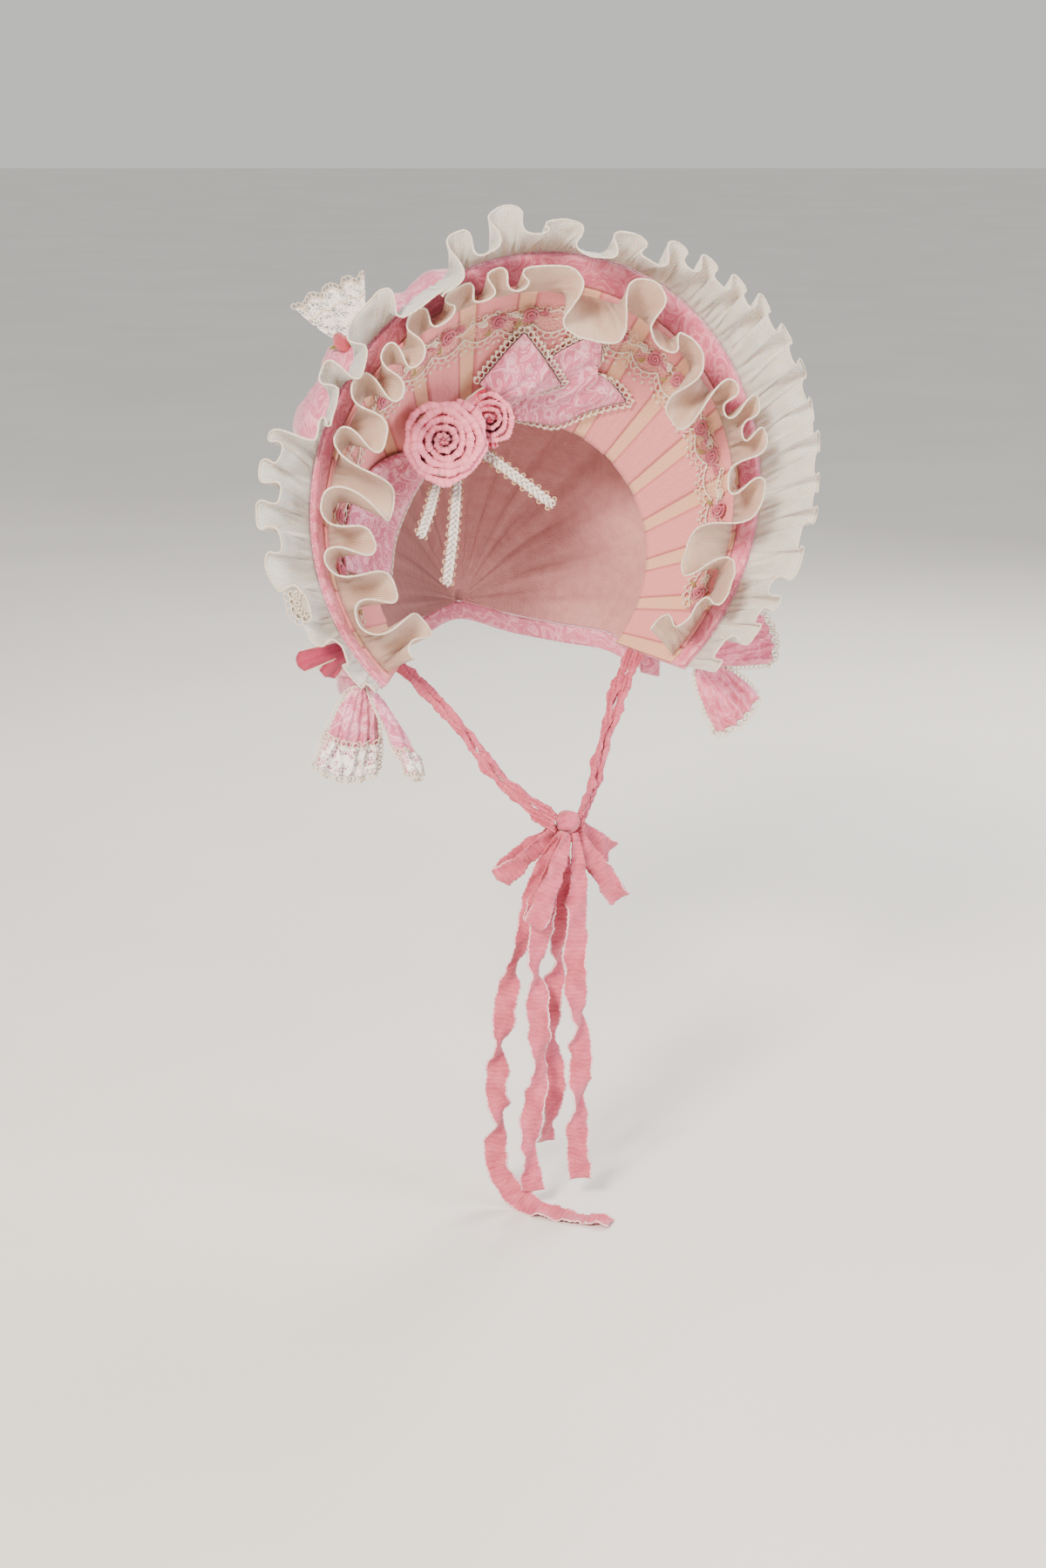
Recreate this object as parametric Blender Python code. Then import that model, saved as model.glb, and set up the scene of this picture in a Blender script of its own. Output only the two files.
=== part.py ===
"""Ruffled damask bonnet: flared horseshoe brim, puffed crown, bow, roses and chin ribbons.

Frame: metres, +Z up, front of the bonnet toward -Y, +X to the viewer's right.
The origin is the top of the head that the bonnet sits on.
"""

import math

import bmesh
import bpy
import numpy as np
from mathutils import Vector

# General walls and clearances
GAP = 0.0003
FACET_ROOM = 0.0002
BRIM_WALL = 0.0024
LINING_WALL = 0.0012
PLEAT_STEP = 0.0011
RING_WALL = 0.0020
LACE_WALL = 0.0010
CHIFFON_WALL = 0.0010
RIBBON_WALL = 0.0010
BOW_WALL = 0.0018
CROWN_WALL = 0.0024

# Head edge of the brim: a horseshoe arch, apex at the top, tips beside the jaw
HEAD_HALF_WIDTH = 0.094
HEAD_END_ANGLE = 130.0
HEAD_TOP_BACK = 0.008
HEAD_TOP_RISE = 0.004
HEAD_TIP_BACK = 0.0
HEAD_TIP_DROP = 0.147

# Outer edge of the brim
RIM_HALF_WIDTH = 0.146
RIM_END_ANGLE = 137.0
RIM_TOP_FORWARD = 0.072
RIM_TOP_RISE = 0.112
RIM_TIP_FORWARD = 0.051
RIM_TIP_DROP = 0.155
BRIM_STEPS = 48

# Bands on the brim, as shares of its width from the head edge
RING_FROM = 0.835
LACE_FROM = 0.615
LACE_TO = 0.725
LACE_REACH = 0.86
LACE_SCALLOPS = 22
LACE_SCALLOP_DEPTH = 0.055
PLEATS = 16
PINK_SHARE = 0.68
SEAM_SHARE = 0.004

# Ruffles
OUTER_RUFFLE_HEIGHT = 0.040
INNER_RUFFLE_HEIGHT = 0.040
INNER_RUFFLE_AT = 0.80
RUFFLE_SWAY = 0.22

# One row for each turn of the free edge. Columns: place round the brim, height share, lean forward
# in degrees
OUTER_RUFFLE_ROWS = (
    (-0.995, 0.30, 4.0),
    (-0.950, 0.36, -20.0),
    (-0.905, 0.46, 12.0),
    (-0.860, 0.62, -22.0),
    (-0.825, 0.80, 4.0),
    (-0.755, 0.92, -28.0),
    (-0.722, 0.95, -4.0),
    (-0.688, 0.98, -32.0),
    (-0.650, 0.95, -2.0),
    (-0.632, 0.95, -30.0),
    (-0.592, 0.92, -8.0),
    (-0.575, 0.92, -28.0),
    (-0.560, 0.92, 24.0),
    (-0.500, 0.90, 34.0),
    (-0.455, 0.86, 4.0),
    (-0.435, 0.92, 42.0),
    (-0.365, 0.88, 6.0),
    (-0.260, 0.92, 48.0),
    (-0.205, 0.92, 52.0),
    (-0.172, 0.85, 2.0),
    (-0.135, 0.88, 38.0),
    (-0.085, 0.88, -8.0),
    (-0.040, 0.88, 32.0),
    (-0.010, 0.88, 18.0),
    (0.070, 0.88, 53.0),
    (0.120, 0.88, 22.0),
    (0.175, 0.90, 44.0),
    (0.210, 0.90, 10.0),
    (0.240, 0.92, 30.0),
    (0.270, 0.94, 4.0),
    (0.300, 0.95, 24.0),
    (0.335, 0.98, 0.0),
    (0.360, 1.00, 16.0),
    (0.387, 1.04, -8.0),
    (0.418, 1.05, 8.0),
    (0.450, 1.06, -14.0),
    (0.480, 1.05, 2.0),
    (0.513, 1.05, -24.0),
    (0.532, 1.05, 2.0),
    (0.575, 1.04, -14.0),
    (0.595, 1.04, -2.0),
    (0.615, 1.04, -24.0),
    (0.650, 1.02, -4.0),
    (0.680, 1.00, -20.0),
    (0.700, 1.00, -4.0),
    (0.725, 1.00, -22.0),
    (0.745, 1.00, 10.0),
    (0.800, 0.98, -4.0),
    (0.840, 0.92, 24.0),
    (0.857, 0.90, -2.0),
    (0.885, 0.88, 20.0),
    (0.910, 0.86, 6.0),
    (0.955, 0.84, 36.0),
    (0.995, 0.80, 18.0),
)

# One row for each turn of the free edge. Columns: place round the brim, height share, lean outward
# in degrees
INNER_RUFFLE_ROWS = (
    (-0.985, 1.00, 40.0),
    (-0.930, 1.00, -10.0),
    (-0.870, 1.00, 62.0),
    (-0.800, 1.00, 8.0),
    (-0.750, 1.00, 72.0),
    (-0.705, 1.00, 22.0),
    (-0.655, 1.00, 72.0),
    (-0.580, 1.00, -20.0),
    (-0.535, 1.00, 70.0),
    (-0.490, 1.00, 24.0),
    (-0.430, 1.00, 74.0),
    (-0.395, 1.00, 30.0),
    (-0.360, 1.00, 68.0),
    (-0.325, 1.00, 36.0),
    (-0.280, 1.00, 72.0),
    (-0.245, 1.00, 48.0),
    (-0.190, 1.00, 68.0),
    (-0.148, 1.00, 46.0),
    (-0.115, 1.00, 70.0),
    (-0.085, 1.00, 46.0),
    (-0.045, 1.00, 64.0),
    (0.110, 1.00, -2.0),
    (0.185, 1.00, 68.0),
    (0.250, 1.00, 22.0),
    (0.310, 1.00, 46.0),
    (0.395, 1.00, -22.0),
    (0.440, 1.00, 56.0),
    (0.468, 1.00, 34.0),
    (0.500, 1.00, 72.0),
    (0.530, 1.00, 44.0),
    (0.560, 1.00, 70.0),
    (0.605, 1.00, 24.0),
    (0.660, 1.00, 62.0),
    (0.735, 1.00, -12.0),
    (0.850, 1.00, 50.0),
    (0.905, 1.00, 30.0),
    (0.985, 1.00, 8.0),
)

# Puffed crown
CROWN_HALF_WIDTH = 0.140
CROWN_DEPTH = 0.133
CROWN_RISE = 0.097
CROWN_TIP_DROP = 0.162
CROWN_SEAT = 0.05
CROWN_END_ANGLE = 130.0
CROWN_GATHERS = 16
CROWN_GATHER_DEPTH = 0.0035
CROWN_STEPS = 52
NAPE_BAND_WIDTH = 0.012
NAPE_BAND_WALL = 0.0024

# Columns: half width, top back, top rise, tip back, tip drop, gather share
CROWN_SECTIONS = (
    (0.850, 0.030, 0.480, 0.060, 0.960, 0.90),
    (0.970, 0.110, 0.865, 0.080, 0.985, 1.00),
    (1.000, 0.310, 1.000, 0.220, 1.000, 0.75),
    (0.957, 0.555, 0.907, 0.390, 0.988, 0.55),
    (0.821, 0.780, 0.577, 0.540, 0.940, 0.45),
    (0.586, 0.930, 0.082, 0.680, 0.920, 0.35),
    (0.300, 1.000, -0.515, 0.840, 0.890, 0.20),
)
CROWN_POLE_BACK = 0.963
CROWN_POLE_DROP = 0.840

# Big bow
BOW_LOOP_PUFF = 0.011

# Columns: place round the brim and share of its width, first edge then second edge
BOW_LOOP_ROWS = (
    (-0.118, 0.320, -0.035, 0.120),
    (-0.085, 0.400, 0.015, 0.175),
    (-0.050, 0.500, 0.065, 0.230),
    (-0.021, 0.585, 0.107, 0.290),
)
BOW_TAIL_ROWS = (
    (-0.010, 0.110, 0.020, 0.020),
    (0.030, 0.300, 0.085, 0.018),
    (0.065, 0.430, 0.151, 0.040),
    (0.110, 0.540, 0.220, 0.200),
    (0.154, 0.632, 0.289, 0.360),
)
BOW_TAIL_NOTCH = (0.169, 0.388)
BOW_PANEL_ROWS = (
    (-0.330, 0.100, -0.335, -0.120),
    (-0.420, 0.280, -0.430, -0.170),
    (-0.520, 0.440, -0.545, -0.200),
    (-0.640, 0.560, -0.680, -0.210),
    (-0.740, 0.620, -0.780, -0.060),
)
BOW_SCOOP = 0.006

# Rolled roses
ROSE_LARGE_RADIUS = 0.0255
ROSE_LARGE_DEPTH = 0.0190
ROSE_LARGE_AT = (-0.258, 0.125)
ROSE_LARGE_STAND = 0.0160
ROSE_SMALL_RADIUS = 0.0165
ROSE_SMALL_DEPTH = 0.0120
ROSE_SMALL_AT = (-0.088, 0.090)
ROSE_SMALL_STAND = 0.0150
ROSE_TURN = 0.55
ROSE_FACES = (-0.30, -0.92, 0.25)

ROSE_STEM_SHARE = 0.22

# Columns: radius share, depth share
ROSE_PROFILE = (
    (0.30, 0.00),
    (0.62, 0.14),
    (0.92, 0.42),
    (1.00, 0.68),
    (0.90, 0.92),
    (0.66, 1.00),
    (0.42, 0.90),
    (0.20, 0.96),
)

# Braids that hang from the roses
BRAID_WIDTH = 0.0068
BRAID_POINTS = 14
BRAID_TUCK = 0.0008

# Columns: start across and up behind the large rose as shares of its radius, then the
# end's x, y, z and the sag as shares of the head half width
BRAID_ROUTES = (
    (0.84, -0.30, 0.110, -0.596, -0.478, 0.05),
    (-0.04, -0.74, -0.800, -0.560, -0.650, 0.03),
    (0.30, -0.70, -0.650, -0.660, -0.960, 0.04),
)

# Side bows, at the outer corners of the brim
SIDE_KNOT_RADIUS = 0.0060
SIDE_BOW_PUFF = 0.0045
SIDE_BOW_AT = 0.965

# Rosebuds and lace on the crown
BUD_LENGTH = 0.0150
BUD_RADIUS = 0.0052
BUD_LEAN = 0.9
FAN_LENGTH = 0.027
FAN_WIDTH = 0.050
FLOWER_RADIUS = 0.0175
FLOWER_DEPTH = 0.0050

# Columns: place round the crown, share of its depth
CROWN_BUDS = (
    (-0.350, 0.360),
    (-0.235, 0.255),
    (-0.880, 0.150),
)

# Columns: place round the brim
BRIM_BUDS = (0.045, 0.125)

# Chin ribbons
RIBBON_WIDTH = 0.0150
STRAP_WIDTH = 0.0060
STRAP_FROM = 0.20
STRAP_SPACING = 0.0085
KNOT_X = 0.010
KNOT_Y = -0.088
KNOT_Z = -0.240
KNOT_RADIUS = 0.0078
LOOP_LENGTH = 0.060
LOOP_DEPTH = 0.0080
TAIL_LENGTH = 0.250

# Columns: side and drop as shares of the loop length, then how far behind the knot it lies
LOOP_ROWS = (
    (-0.68, -0.60, 0.0120),
    (-0.46, -0.98, -0.0180),
    (0.62, -0.92, 0.0130),
    (0.58, -0.46, 0.0245),
)

# Rows from the knot down. Columns: drop, side and front as shares of the tail length, turn in degrees
TAIL_ONE_ROWS = (
    (0.030, -0.018, -0.008, 0.0),
    (0.140, -0.075, -0.008, 5.0),
    (0.260, -0.098, -0.012, 10.0),
    (0.370, -0.135, -0.026, -50.0),
    (0.480, -0.155, -0.030, 40.0),
    (0.590, -0.172, -0.030, -55.0),
    (0.690, -0.180, -0.030, 50.0),
    (0.790, -0.172, -0.030, -50.0),
    (0.880, -0.184, -0.026, 35.0),
    (0.952, -0.165, -0.004, 12.0),
    (0.990, -0.120, 0.070, 2.0),
    (1.000, -0.040, 0.150, 0.0),
    (1.000, 0.050, 0.215, 0.0),
)
TAIL_TWO_ROWS = (
    (0.030, -0.014, 0.012, 0.0),
    (0.150, -0.050, 0.018, 5.0),
    (0.270, -0.080, 0.026, 10.0),
    (0.380, -0.096, 0.040, -50.0),
    (0.500, -0.092, 0.050, 45.0),
    (0.620, -0.090, 0.050, -50.0),
    (0.730, -0.105, 0.050, 45.0),
    (0.840, -0.118, 0.050, -40.0),
    (0.960, -0.108, 0.050, 20.0),
)
TAIL_THREE_ROWS = (
    (0.030, 0.006, -0.010, 0.0),
    (0.130, -0.012, -0.010, -5.0),
    (0.250, -0.010, -0.012, 10.0),
    (0.370, -0.020, -0.026, -50.0),
    (0.480, -0.036, -0.030, 45.0),
    (0.590, -0.038, -0.030, -50.0),
    (0.700, -0.024, -0.030, 45.0),
    (0.800, -0.040, -0.030, -45.0),
    (0.860, -0.048, -0.030, -20.0),
)
TAIL_FOUR_ROWS = (
    (0.030, 0.017, 0.011, 0.0),
    (0.150, 0.022, 0.018, 8.0),
    (0.270, 0.016, 0.026, -15.0),
    (0.390, 0.008, 0.040, 45.0),
    (0.510, 0.014, 0.050, -50.0),
    (0.620, 0.020, 0.050, 45.0),
    (0.730, 0.014, 0.050, -50.0),
    (0.840, 0.012, 0.050, 40.0),
    (0.940, 0.020, 0.050, 15.0),
)

# Lifts of the layers on the front of the brim
LINING_BACK = BRIM_WALL / 2 + GAP
LINING_FRONT = LINING_BACK + LINING_WALL + PLEAT_STEP
LACE_BACK = LINING_FRONT + GAP + FACET_ROOM
LACE_FRONT = LACE_BACK + LACE_WALL
RUFFLE_FOOT = max(LINING_FRONT, LINING_BACK + RING_WALL) + GAP + FACET_ROOM
BOW_BACK = LACE_FRONT + GAP


def unit(vectors):
    """Return the vectors at length one."""
    return vectors / np.linalg.norm(vectors, axis=-1, keepdims=True)


def arch(u, half_width, end_angle, top_y, top_z, tip_y, tip_z):
    """Horseshoe arch: u runs from -1 at the left tip over 0 at the apex to 1 at the right tip."""
    end = math.radians(end_angle)
    angle = np.asarray(u, float) * end
    height = (np.cos(angle) - math.cos(end)) / (1 - math.cos(end))
    x = half_width * np.sin(angle)
    y = tip_y + (top_y - tip_y) * height
    z = tip_z + (top_z - tip_z) * height
    return np.stack([x, y, z], -1)


def head_edge(u):
    """Edge of the brim that lies round the head."""
    return arch(
        u, HEAD_HALF_WIDTH, HEAD_END_ANGLE, HEAD_TOP_BACK, HEAD_TOP_RISE, HEAD_TIP_BACK, -HEAD_TIP_DROP
    )


def rim_edge(u):
    """Outer edge of the brim."""
    return arch(
        u, RIM_HALF_WIDTH, RIM_END_ANGLE, -RIM_TOP_FORWARD, RIM_TOP_RISE, -RIM_TIP_FORWARD, -RIM_TIP_DROP
    )


def brim_frame(u, r):
    """Point, direction round the brim, direction outward and front normal at (u, r)."""
    u, r = np.broadcast_arrays(np.asarray(u, float), np.asarray(r, float))
    share = r[..., None]
    step = 1e-3
    inner = head_edge(u)
    outer = rim_edge(u)
    point = inner * (1 - share) + outer * share
    ahead = head_edge(u + step) * (1 - share) + rim_edge(u + step) * share
    behind = head_edge(u - step) * (1 - share) + rim_edge(u - step) * share
    round_way = unit(ahead - behind)
    out_way = unit(outer - inner)
    normal = unit(np.cross(round_way, out_way))
    return point, round_way, out_way, normal


def on_brim(u, r, lift):
    """Point on the brim at a height above its middle surface, toward the face."""
    point, _, _, normal = brim_frame(u, r)
    return point + normal * np.asarray(lift, float)[..., None]


def material(name, colour, roughness):
    """Plain cloth material from an sRGB hex colour."""
    made = bpy.data.materials.new(name)
    made.use_nodes = True
    shader = made.node_tree.nodes["Principled BSDF"]
    values = [int(colour[i : i + 2], 16) / 255 for i in (1, 3, 5)]
    linear = [v / 12.92 if v <= 0.04045 else ((v + 0.055) / 1.055) ** 2.4 for v in values]
    shader.inputs["Base Color"].default_value = (*linear, 1.0)
    shader.inputs["Roughness"].default_value = roughness
    shader.inputs["Metallic"].default_value = 0.0
    made.diffuse_color = (*linear, 1.0)
    return made


def add_mesh(name, points, faces, look, smooth=True):
    """Make one object from points and faces, with its faces turned outward."""
    mesh = bpy.data.meshes.new(name)
    mesh.from_pydata([tuple(map(float, p)) for p in points], [], [tuple(map(int, f)) for f in faces])
    work = bmesh.new()
    work.from_mesh(mesh)
    bmesh.ops.recalc_face_normals(work, faces=work.faces)
    work.to_mesh(mesh)
    work.free()
    mesh.materials.append(look)
    if smooth:
        mesh.shade_smooth()
    made = bpy.data.objects.new(name, mesh)
    bpy.context.scene.collection.objects.link(made)
    return made


def grid_faces(rows, columns, first=0, closed=False):
    """Quads of a grid of points stored row by row."""
    index = np.arange(rows * columns).reshape(rows, columns) + first
    if closed:
        index = np.concatenate([index, index[:1]])
    quads = [index[:-1, :-1], index[1:, :-1], index[1:, 1:], index[:-1, 1:]]
    return np.stack(quads, -1).reshape(-1, 4)


def sheet(name, grid, wall, look):
    """Cloth sheet: a grid of middle points thickened on both sides."""
    rows, columns = grid.shape[:2]
    made = add_mesh(name, grid.reshape(-1, 3), grid_faces(rows, columns), look)
    solid = made.modifiers.new("wall", "SOLIDIFY")
    solid.thickness = wall
    solid.offset = 0.0
    solid.use_even_offset = False
    return made


def slab(name, front, back, look):
    """Closed solid between a front grid and a back grid, joined round their edges."""
    rows, columns = front.shape[:2]
    count = rows * columns
    index = np.arange(count).reshape(rows, columns)
    border = np.concatenate([index[0, :-1], index[:-1, -1], index[-1, :0:-1], index[:0:-1, 0]])
    following = np.roll(border, -1)
    rim = np.stack([border, following, following + count, border + count], -1)
    faces = [
        *grid_faces(rows, columns),
        *grid_faces(rows, columns, count)[:, ::-1],
        *rim,
    ]
    points = np.concatenate([front.reshape(-1, 3), back.reshape(-1, 3)])
    return add_mesh(name, points, faces, look)


def turned(name, profile, centre, axis, look, sides=16, lobes=0, lobe_depth=0.0):
    """Solid turned round an axis from (radius, distance) rows, with soft lobes round it."""
    axis = Vector(axis).normalized()
    turn = axis.to_track_quat("Z", "Y").to_matrix()
    across = np.array(turn.col[0])
    up = np.array(turn.col[1])
    along = np.array(axis)
    angle = np.arange(sides) * 2 * math.pi / sides
    swell = 1 + lobe_depth * np.cos(lobes * angle)
    radius = np.array([row[0] for row in profile])[:, None] * swell
    distance = np.array([row[1] for row in profile])[:, None] * np.ones(sides)
    centre = np.asarray(centre, float)
    rings = (
        centre
        + radius[..., None] * np.cos(angle)[None, :, None] * across
        + radius[..., None] * np.sin(angle)[None, :, None] * up
        + distance[..., None] * along
    )
    count = len(profile)
    points = [*rings.reshape(-1, 3), centre + along * profile[0][1], centre + along * profile[-1][1]]
    index = np.arange(count * sides).reshape(count, sides)
    after = np.roll(index, -1, axis=1)
    faces = list(np.stack([index[:-1], after[:-1], after[1:], index[1:]], -1).reshape(-1, 4))
    faces += [(count * sides, a, b) for a, b in zip(after[0], index[0])]
    faces += [(count * sides + 1, a, b) for a, b in zip(index[-1], after[-1])]
    return add_mesh(name, points, faces, look)


def through(rows, samples):
    """Smooth curve (Catmull-Rom) through rows of numbers, read at even steps."""
    rows = np.asarray(rows, float)
    last = len(rows) - 1
    at = np.linspace(0, last, samples)
    k = np.clip(at.astype(int), 0, last - 1)
    t = (at - k)[:, None]
    before = rows[np.clip(k - 1, 0, last)]
    start = rows[k]
    end = rows[k + 1]
    beyond = rows[np.clip(k + 2, 0, last)]
    return 0.5 * (
        2 * start
        + (end - before) * t
        + (2 * before - 5 * start + 4 * end - beyond) * t**2
        + (3 * start - before - 3 * end + beyond) * t**3
    )


def ruffle_grid(at, foot, height, turns, standing):
    """Gathered frill between turns of its free edge.

    Between two turns the lean goes from one to the other as (1 - cos(pi t)) / 2, and the
    cloth moves along the frill by sway * sin(2 pi t), which rounds each fold. At height
    share h the lean is mean + (turn - mean) * sqrt(h), so the foot stays gathered and flat.
    """
    places, shares, leans = np.array(turns).T
    heights = shares * height
    steps = 3
    span = np.arange((len(places) - 1) * steps + 1) / steps
    k = np.clip(span.astype(int), 0, len(places) - 2)
    t = span - k
    blend = (1 - np.cos(math.pi * t)) / 2
    width = places[k + 1] - places[k]
    u = places[k] + width * t
    lean = np.radians(leans[k] * (1 - blend) + leans[k + 1] * blend)
    reached = heights[k] * (1 - blend) + heights[k + 1] * blend
    local = np.radians((leans[k] + leans[k + 1]) / 2)
    mean = np.convolve(np.pad(local, 6, "edge"), np.ones(13) / 13, "valid")
    point, round_way, out_way, normal = brim_frame(u, at)
    reach = np.linalg.norm(brim_frame(u + 0.01, at)[0] - point, axis=-1) / 0.01
    sway = RUFFLE_SWAY * width * reach * np.sin(2 * math.pi * t)
    up_way, side_way = (normal, out_way) if standing else (out_way, normal)
    rows = []
    for share in (0.0, 0.45, 1.0):
        angle = mean + (lean - mean) * math.sqrt(share)
        rise = (foot + reached * share * np.cos(angle))[:, None]
        side = (reached * share * np.sin(angle))[:, None]
        rows.append(point + up_way * rise + side_way * side + round_way * (sway * share)[:, None])
    return np.stack(rows, 1)


def crown_grid(steps):
    """Middle surface of the crown: arches from the seat on the brim to the pole at the back."""
    u = np.linspace(-1, 1, steps + 1)
    rows = [on_brim(u, CROWN_SEAT, -np.full_like(u, BRIM_WALL / 2 + GAP + CROWN_WALL / 2))]
    fold = np.cos(u * math.pi * CROWN_GATHERS) * (1 - u**8)
    for half_width, top_back, top_rise, tip_back, tip_drop, gather in CROWN_SECTIONS:
        section = arch(
            u,
            CROWN_HALF_WIDTH * half_width,
            CROWN_END_ANGLE,
            CROWN_DEPTH * top_back,
            CROWN_RISE * top_rise,
            CROWN_DEPTH * tip_back,
            -CROWN_TIP_DROP * tip_drop,
        )
        middle = section.mean(axis=0)
        outward = unit(section - middle)
        rows.append(section + outward * (CROWN_GATHER_DEPTH * gather * fold)[:, None])
    pole = np.array([0.0, CROWN_DEPTH * CROWN_POLE_BACK, -CROWN_TIP_DROP * CROWN_POLE_DROP])
    return np.stack(rows), pole


def add_crown(look):
    """Crown shell, closed at the pole, open toward the face and along the nape."""
    rows, pole = crown_grid(CROWN_STEPS)
    count, columns = rows.shape[:2]
    faces = list(grid_faces(count, columns))
    top = count * columns
    last = (count - 1) * columns
    faces += [(last + i, top, last + i + 1) for i in range(columns - 1)]
    made = add_mesh("crown", [*rows.reshape(-1, 3), pole], faces, look)
    solid = made.modifiers.new("wall", "SOLIDIFY")
    solid.thickness = CROWN_WALL
    solid.offset = 0.0
    solid.use_even_offset = False
    return rows, pole


def add_nape_band(rows, pole, look):
    """Plain band under the nape edge of the crown, from one tip round the back to the other."""
    edge = np.concatenate([rows[1:, 0], [pole], rows[:0:-1, -1]])
    down = np.array([0.0, 0.0, -1.0])
    start = GAP + CROWN_WALL / 4
    grid = np.stack([edge + down * start, edge + down * (start + NAPE_BAND_WIDTH)], 1)
    return sheet("nape_band", grid, NAPE_BAND_WALL, look)


def add_lining(look):
    """Lining in knife pleats: each fold's pink face lies one step above its cream face."""
    u = []
    lift = []
    for strip in range(PLEATS):
        start = -1 + 2 * strip / PLEATS
        middle = start + 2 * PINK_SHARE / PLEATS
        end = start + 2 / PLEATS
        half = SEAM_SHARE / 2
        u += [start + half, (start + middle) / 2, middle - half, middle + half, end - half]
        lift += [PLEAT_STEP, PLEAT_STEP, PLEAT_STEP, 0.0, 0.0]
    u = np.clip(np.array(u), -1, 1)
    lift = np.array(lift)
    share = np.array([0.0, RING_FROM - GAP / 0.08])
    front = np.stack([on_brim(u, r, LINING_BACK + LINING_WALL + lift) for r in share], 1)
    back = np.stack([on_brim(u, r, np.full_like(u, LINING_BACK)) for r in share], 1)
    return slab("lining", front, back, look)


def add_band(name, start, end, back, wall, look, reach=1.0):
    """Flat band on the brim between two shares of its width."""
    u = np.linspace(-reach, reach, BRIM_STEPS + 1)
    front_face = np.stack([on_brim(u, r, np.full_like(u, back + wall)) for r in (start, end)], 1)
    back_face = np.stack([on_brim(u, r, np.full_like(u, back)) for r in (start, end)], 1)
    return slab(name, front_face, back_face, look)


def add_lace(look):
    """Lace band with a scalloped edge toward the head."""
    phase = np.arange(LACE_SCALLOPS * 3 + 1) / 3
    u = LACE_REACH * (2 * phase / LACE_SCALLOPS - 1)
    low = LACE_FROM - LACE_SCALLOP_DEPTH * np.abs(np.sin(math.pi * phase))
    high = np.full_like(low, LACE_TO)
    front = np.stack([on_brim(u, r, np.full_like(u, LACE_FRONT)) for r in (low, high)], 1)
    back = np.stack([on_brim(u, r, np.full_like(u, LACE_BACK)) for r in (low, high)], 1)
    return slab("rose_lace", front, back, look)


def panel_grids(rows, columns, lift, wall, puff=0.0, scoop=0.0, notch=None):
    """Front and back grids of a bow panel whose two long edges are given on the brim."""
    rows = np.asarray(rows, float)
    across = np.linspace(0, 1, columns)
    u = rows[:, :1] * (1 - across) + rows[:, 2:3] * across
    r = rows[:, 1:2] * (1 - across) + rows[:, 3:4] * across
    if notch is not None:
        pull = 1 - np.abs(across - 0.5) * 2
        u[-1] = u[-1] * (1 - pull) + notch[0] * pull
        r[-1] = r[-1] * (1 - pull) + notch[1] * pull
    along = np.linspace(0, 1, len(rows))[:, None]
    dome = np.sin(math.pi * across) * (0.10 + 0.90 * np.sin(math.pi * along * 0.75))
    lower = lift + scoop * np.sin(math.pi * across * 2) ** 2 * along
    upper = lower + wall + puff * dome
    return on_brim(u, r, upper), on_brim(u, r, lower)


def add_rose(name, at, radius, depth, stand, look):
    """Rolled rose on the lining: its face is turned between the brim's normal and the front."""
    point, _, _, normal = brim_frame(at[0], at[1])
    axis = unit(unit(normal) * ROSE_TURN + unit(np.array(ROSE_FACES)) * (1 - ROSE_TURN))
    lean = float(np.dot(axis, normal))
    stem = radius * ROSE_STEM_SHARE
    foot = (LINING_FRONT + GAP + stem * 1.05 * math.sqrt(1 - lean**2)) / lean
    profile = [(stem, foot)]
    profile += [(radius * row[0], foot + stand + depth * row[1]) for row in ROSE_PROFILE]
    turned(name, profile, point, axis, look, sides=16, lobes=5, lobe_depth=0.045)
    return point + axis * (foot + stand), axis


def add_braid(name, route, rose_back, rose_axis, look):
    """Braid that hangs along a soft arc from behind the large rose."""
    level = unit(np.cross(rose_axis, [0.0, 0.0, 1.0])) * -1
    rise = np.cross(level, rose_axis) * -1
    out = level * route[0] + rise * route[1]
    share = float(np.linalg.norm(out))
    radii = [row[0] for row in ROSE_PROFILE[:4]]
    depths = [row[1] for row in ROSE_PROFILE[:4]]
    back = np.interp(share * 0.95, radii, depths) * ROSE_LARGE_DEPTH - BRAID_WIDTH / 2 - GAP + BRAID_TUCK
    start = rose_back + out * ROSE_LARGE_RADIUS + rose_axis * back
    past = rose_back + unit(out) * (ROSE_LARGE_RADIUS * 1.05 + BRAID_WIDTH / 2) + rose_axis * back
    end = np.array(route[2:5]) * HEAD_HALF_WIDTH
    middle = (past + end) / 2
    middle[1] -= route[5] * HEAD_HALF_WIDTH
    chosen = np.stack([start, past, middle, end])
    points = through(chosen, BRAID_POINTS)
    curve = bpy.data.curves.new(name, "CURVE")
    curve.dimensions = "3D"
    curve.bevel_depth = BRAID_WIDTH / 2
    curve.bevel_resolution = 2
    curve.use_fill_caps = True
    spline = curve.splines.new("POLY")
    spline.points.add(len(points) - 1)
    for target, source in zip(spline.points, points):
        target.co = (*source, 1.0)
    curve.materials.append(look)
    made = bpy.data.objects.new(name, curve)
    bpy.context.scene.collection.objects.link(made)
    return made


def strip(name, path, width_ways, widths, wall, look):
    """Ribbon swept along a path, flat across the given width direction."""
    half = (np.asarray(widths) / 2)[:, None]
    grid = np.stack([path - width_ways * half, path + width_ways * half], 1)
    return sheet(name, grid, wall, look)


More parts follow.
